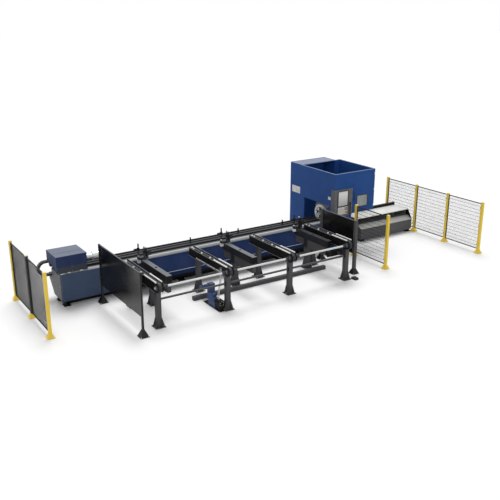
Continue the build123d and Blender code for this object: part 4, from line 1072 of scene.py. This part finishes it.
# Lift beams
def lift_fittings():
    """End plates, hole rims, clamp knobs and clamp sliders of the lift beams."""
    x = lift_places[0]
    end = -1921
    plate = start_block("lift_end_plates", span(x, 84), (end, end + 6.5), (1136, 1344))
    bevel(plate, 8, 2, along("Y"))
    panelled(plate, "Y", -1, 16, -1.5)
    spots = [(x + a, end, z) for a in (-62, 62) for z in (1160, 1320)]
    plate = joined([plate, screws_at("lift_bolt", spots, 9, 8, "Y", -1)])
    done(at_lifts(plate), "black_paint", body="lift_beams")

    rim = ring("lift_hole_rims", (x, -1010, 1351.5), 44, 34.5, 4, "Z")
    bevel(rim, 1, 1, past("Z", 1, 1353))
    done(at_lifts(rim), "dark_steel", body="lift_beams")

    knob = start_rod("clamp_knobs", (x + 40, -95, 1762), 26, 44, "Z", 24)
    bevel(knob, 14, 4, across("Z"))
    collar = start_rod("clamp_collar", (x - 125, -15, 1446), 34, 42, "Z", 6)
    bevel(collar, 3, 1)
    pin = start_rod("finger_pin", (x + 128, -50, 1402), 17, 150, "Y", 24)
    bevel(pin, 4, 2, across("Y"))
    done(at_lifts(joined([knob, collar, pin])), "steel", body="lift_beams")

    sliders = []
    for a, y, z, way, reach in ((x - 125, -15, 1660, -1, 120), (x + 40, -95, 1560, 1, 150)):
        block = start_block("clamp_sliders", span(a, 38), span(y, 38), (z, z + 70))
        stepped(block, "X", way, 16, reach)
        bevel(block, 4, 2)
        screw = socket_screw("slider_screw", (a, y - 38, z + 35), 11, 12, "Y", -1)
        sliders.append(joined([block, screw]))
    done(at_lifts(joined(sliders)), "black_paint", body="lift_beams")


def lift_frames():
    """Fixed carriers in front of and behind every lift post, deep boxes with sunk sides on a flange."""
    x = lift_places[0]
    parts = []
    for way, end, bottom in ((-1, -1880, 800), (1, -80, 860)):
        post_face = lift_post_y + way * 100
        face = post_face + way * 12
        box = start_block("lift_frames", span(x, 66), sorted((face, end)), (bottom, 1100))
        pick_faces(box, along("X"))
        bpy.ops.mesh.inset(thickness=0.034, depth=-0.014, use_individual=True)
        bevel(box, 5, 2, lambda middle, direction: abs(middle.x - x) > 60)
        flange = start_block("carrier_flange", span(x, 78), sorted((post_face, face)), (bottom - 15, 1115))
        bevel(flange, 4, 2)
        spots = [(x + a, face, z) for a in (-72, 72) for z in (bottom + 30, 1070)]
        parts += [box, flange, screws_at("carrier_screw", spots, 6, 7, "Y", way)]
    done(at_lifts(joined(parts)), "post_paint", "black_paint")


def clamp_arms():
    """A second upright with a slanted finger and a cross bolt beside each clamp."""
    x = lift_places[0]
    upright = start_block("clamp_arms", (x + 92, x + 136), (-92, -48), (1424, 1690))
    stepped(upright, "Z", 1, 8, 34)
    bevel(upright, 5, 2)
    finger = start_block("slanted_finger", (x + 120, x + 300), (-84, -56), (1545, 1585))
    stepped(finger, "X", 1, 6, 26)
    bevel(finger, 4, 2)
    turned(finger, 36, "Y", (x + 114, -70, 1565))
    bolt = socket_screw("clamp_bolt", (x + 114, -92, 1565), 15, 16, "Y", -1)
    done(at_lifts(joined([upright, finger, bolt])), "black_paint", body="lift_beams")


# Floor drives
def motor_fittings():
    """Fan grille, terminal lid and gland of the pump motor, and the pump's end screws."""
    centre, fan = (pump_x, 0, pump_z), -1603
    parts = [ring("motor_grille", (pump_x, fan, pump_z), r, r - 7, 5, "Y", 36) for r in (96, 76, 56, 36)]
    spoke = start_block("grille_spokes", span(pump_x, 4), (fan - 2, fan + 1), span(pump_z, 95))
    bevel(spoke, 1, 1)
    done(joined(parts + [spun(spoke, 4, "Y", centre, 45)]), "black_paint")

    y, top = -1920, 436
    lid = start_block("terminal_lid", span(pump_x, 59), span(y, 59), (top - 8.5, top))
    bevel(lid, 8, 2, along("Z"))
    panelled(lid, "Z", 1, 9, 3)
    spots = [(*spot, top) for spot in corners(pump_x, y, 50)]
    screws = screws_at("lid_screw", spots, 5, 3, "Z", 1)
    gland = start_rod("motor_gland", (pump_x - 66, y, 395), 20, 22, "X", 6)
    stepped(gland, "X", -1, 5, 16)
    bevel(gland, 2, 1)
    done(joined([lid, gland, screws]), "motor_blue")

    screw = socket_screw("pump_screws", (pump_x, -2385, pump_z + 70), 9, 9, "Y", -1)
    done(spun(screw, 6, "Y", centre), "steel")


# Outfeed, trough, guards and pedal
def outfeed_fittings():
    """Screw rows along the chute, screws on the end cover, and the rounded front edge of the plates."""
    low_y, low_z, thick = 500, 520, 6
    slope, lean = 140 / 240, 30.3
    rows = []
    for y in (522, 718):
        foot = (5320, y, low_z + (y - low_y) * slope + thick)
        screw = turned(socket_screw("chute_screws", foot, 9, 4, "Z", 1), lean, "X", foot)
        rows.append(row(screw, 14, (200, 0, 0)))
    done(joined(rows), "steel")

    spots = [(8045, y, z) for y in (560, 900, 1240, 1560) for z in (150, 480)]
    done(screws_at("end_cover_screws", spots, 10, 6, "X", 1), "steel")

    edge = start_block("plate_edge", (5232, 8028), (733, 741), (896, 922))
    bevel(edge, 3, 3, along("X"))
    done(edge, "stainless")


def trough_fold_highlight():
    """A pale rolled bead along the fold of the drip trough, a painted highlight on the fold."""
    bead = start_rod("trough_fold_highlight", (-860, 203, 588), 8, 7290, "X", 16)
    panelled(bead, "X", 1, 3, 1)
    done(bead, "fold_highlight_paint", "duct_blue")


def guard_edges():
    """Folded edge channels and screws on both sheet guards, in mid grey as a painted highlight along the
    guards' top edges.
    """
    for name, legs, z in (
        ("left_guard_edge", guard_legs[:2], 1975),
        ("right_guard_edge", guard_legs[2:], 1945),
    ):
        x, front, back = legs[0][0], legs[0][1] + 30, legs[1][1] - 30
        edge = start_block(name, span(x, 11), (front, back), (z - 26, z + 3))
        panelled(edge, "Z", 1, 3, 1)
        bevel(edge, 3, 2, along("Y"))
        parts = [edge]
        for way in (-1, 1):
            spots = [(x + way * 3, y, z - 120) for y in (front + 40, back - 40)]
            parts.append(row(screws_at("guard_screw", spots, 9, 6, "X", way), 4, (0, 0, -320)))
        done(joined(parts), "guard_edge_highlight", "grey_paint")


def guard_sleeves():
    """Square sleeves over the legs of the right guard, with a chamfered cap."""
    x, y = guard_legs[2]
    sleeve = start_block("guard_sleeves", span(x, 55), span(y, 55), (20.5, 1950))
    panelled(sleeve, "Z", 1, 10, 8)
    bevel(sleeve, 8, 3, along("Z"))
    done(repeated(sleeve, guard_legs[2:]), "post_paint", "black_paint")


def pedal_ribs():
    """Grip ribs across the foot pedal."""
    rib = start_block("pedal_ribs", (2226, 2344), (-2636, -2628), (61.5, 66))
    bevel(rib, 2, 2, past("Z", 1, 65))
    done(row(rib, 7, (0, 21, 0)), "grip_rubber", "black_plastic", "foot_pedal")


# Cutting head and bed
def head_fittings():
    """Lens barrel and round nozzle of the cutting head."""
    x, tip = 4596, 1519
    barrel = start_rod("lens_barrel", (x, tube_y, 2352), 46, 64, "Z")
    stepped(barrel, "Z", 1, 12, 40)
    inset(8, -6)
    bevel(barrel, 2, 2)
    nozzle = start_rod("nozzle_nut", (x, tube_y, 1548), 34, 30, "Z", 24)
    stepped(nozzle, "Z", -1, 6, 14)
    bpy.ops.transform.resize(value=(0.45, 0.45, 0.45), center_override=metres((x, tube_y, tip)))
    put_down()
    done(joined([barrel, nozzle]), "alloy", body="cutting_head")


def bed_plinth():
    """The dark base frame set back under the bed, with a folded rail along its front and back; its black is
    partly the frame's paint and partly painted shade under the bed.
    """
    plinth = start_block("bed_plinth", (-6980, 3400), (770, 1330), (26, 181))
    for way in (-1, 1):
        pick_faces(plinth, toward("Y", way))
        inset(14)
        inset(10, -18)
        put_down()
    bevel(plinth, 4, 2, lambda middle, direction: abs(direction.x) > 0.9 and middle.z < 60)
    done(plinth, "black_paint")


def bed_screws():
    """Screws round the bed's end plate."""
    spots = [(-7080, y, z) for y in (770, 1150, 1490) for z in (230, 640, 1010)]
    done(screws_at("end_plate_screws", spots, 11, 7, "X", -1), "steel")


for build in (
    stage, pump_hoses, fence_meshes, fence_caps, fence_clips, floor_anchors, door_fittings, cabin_trim,
    operator_fittings, hood_fittings, chuck_screws, arm_bearings, shaft_couplings, chain_guides, chain_links,
    arm_screws, rail_brackets, lift_fittings, lift_frames, clamp_arms, arm_pipes, shaft_motor, motor_fittings,
    outfeed_fittings, trough_fold_highlight, guard_edges, guard_sleeves, pedal_ribs, head_fittings, bed_plinth,
    bed_screws,
):
    build()
put_down()
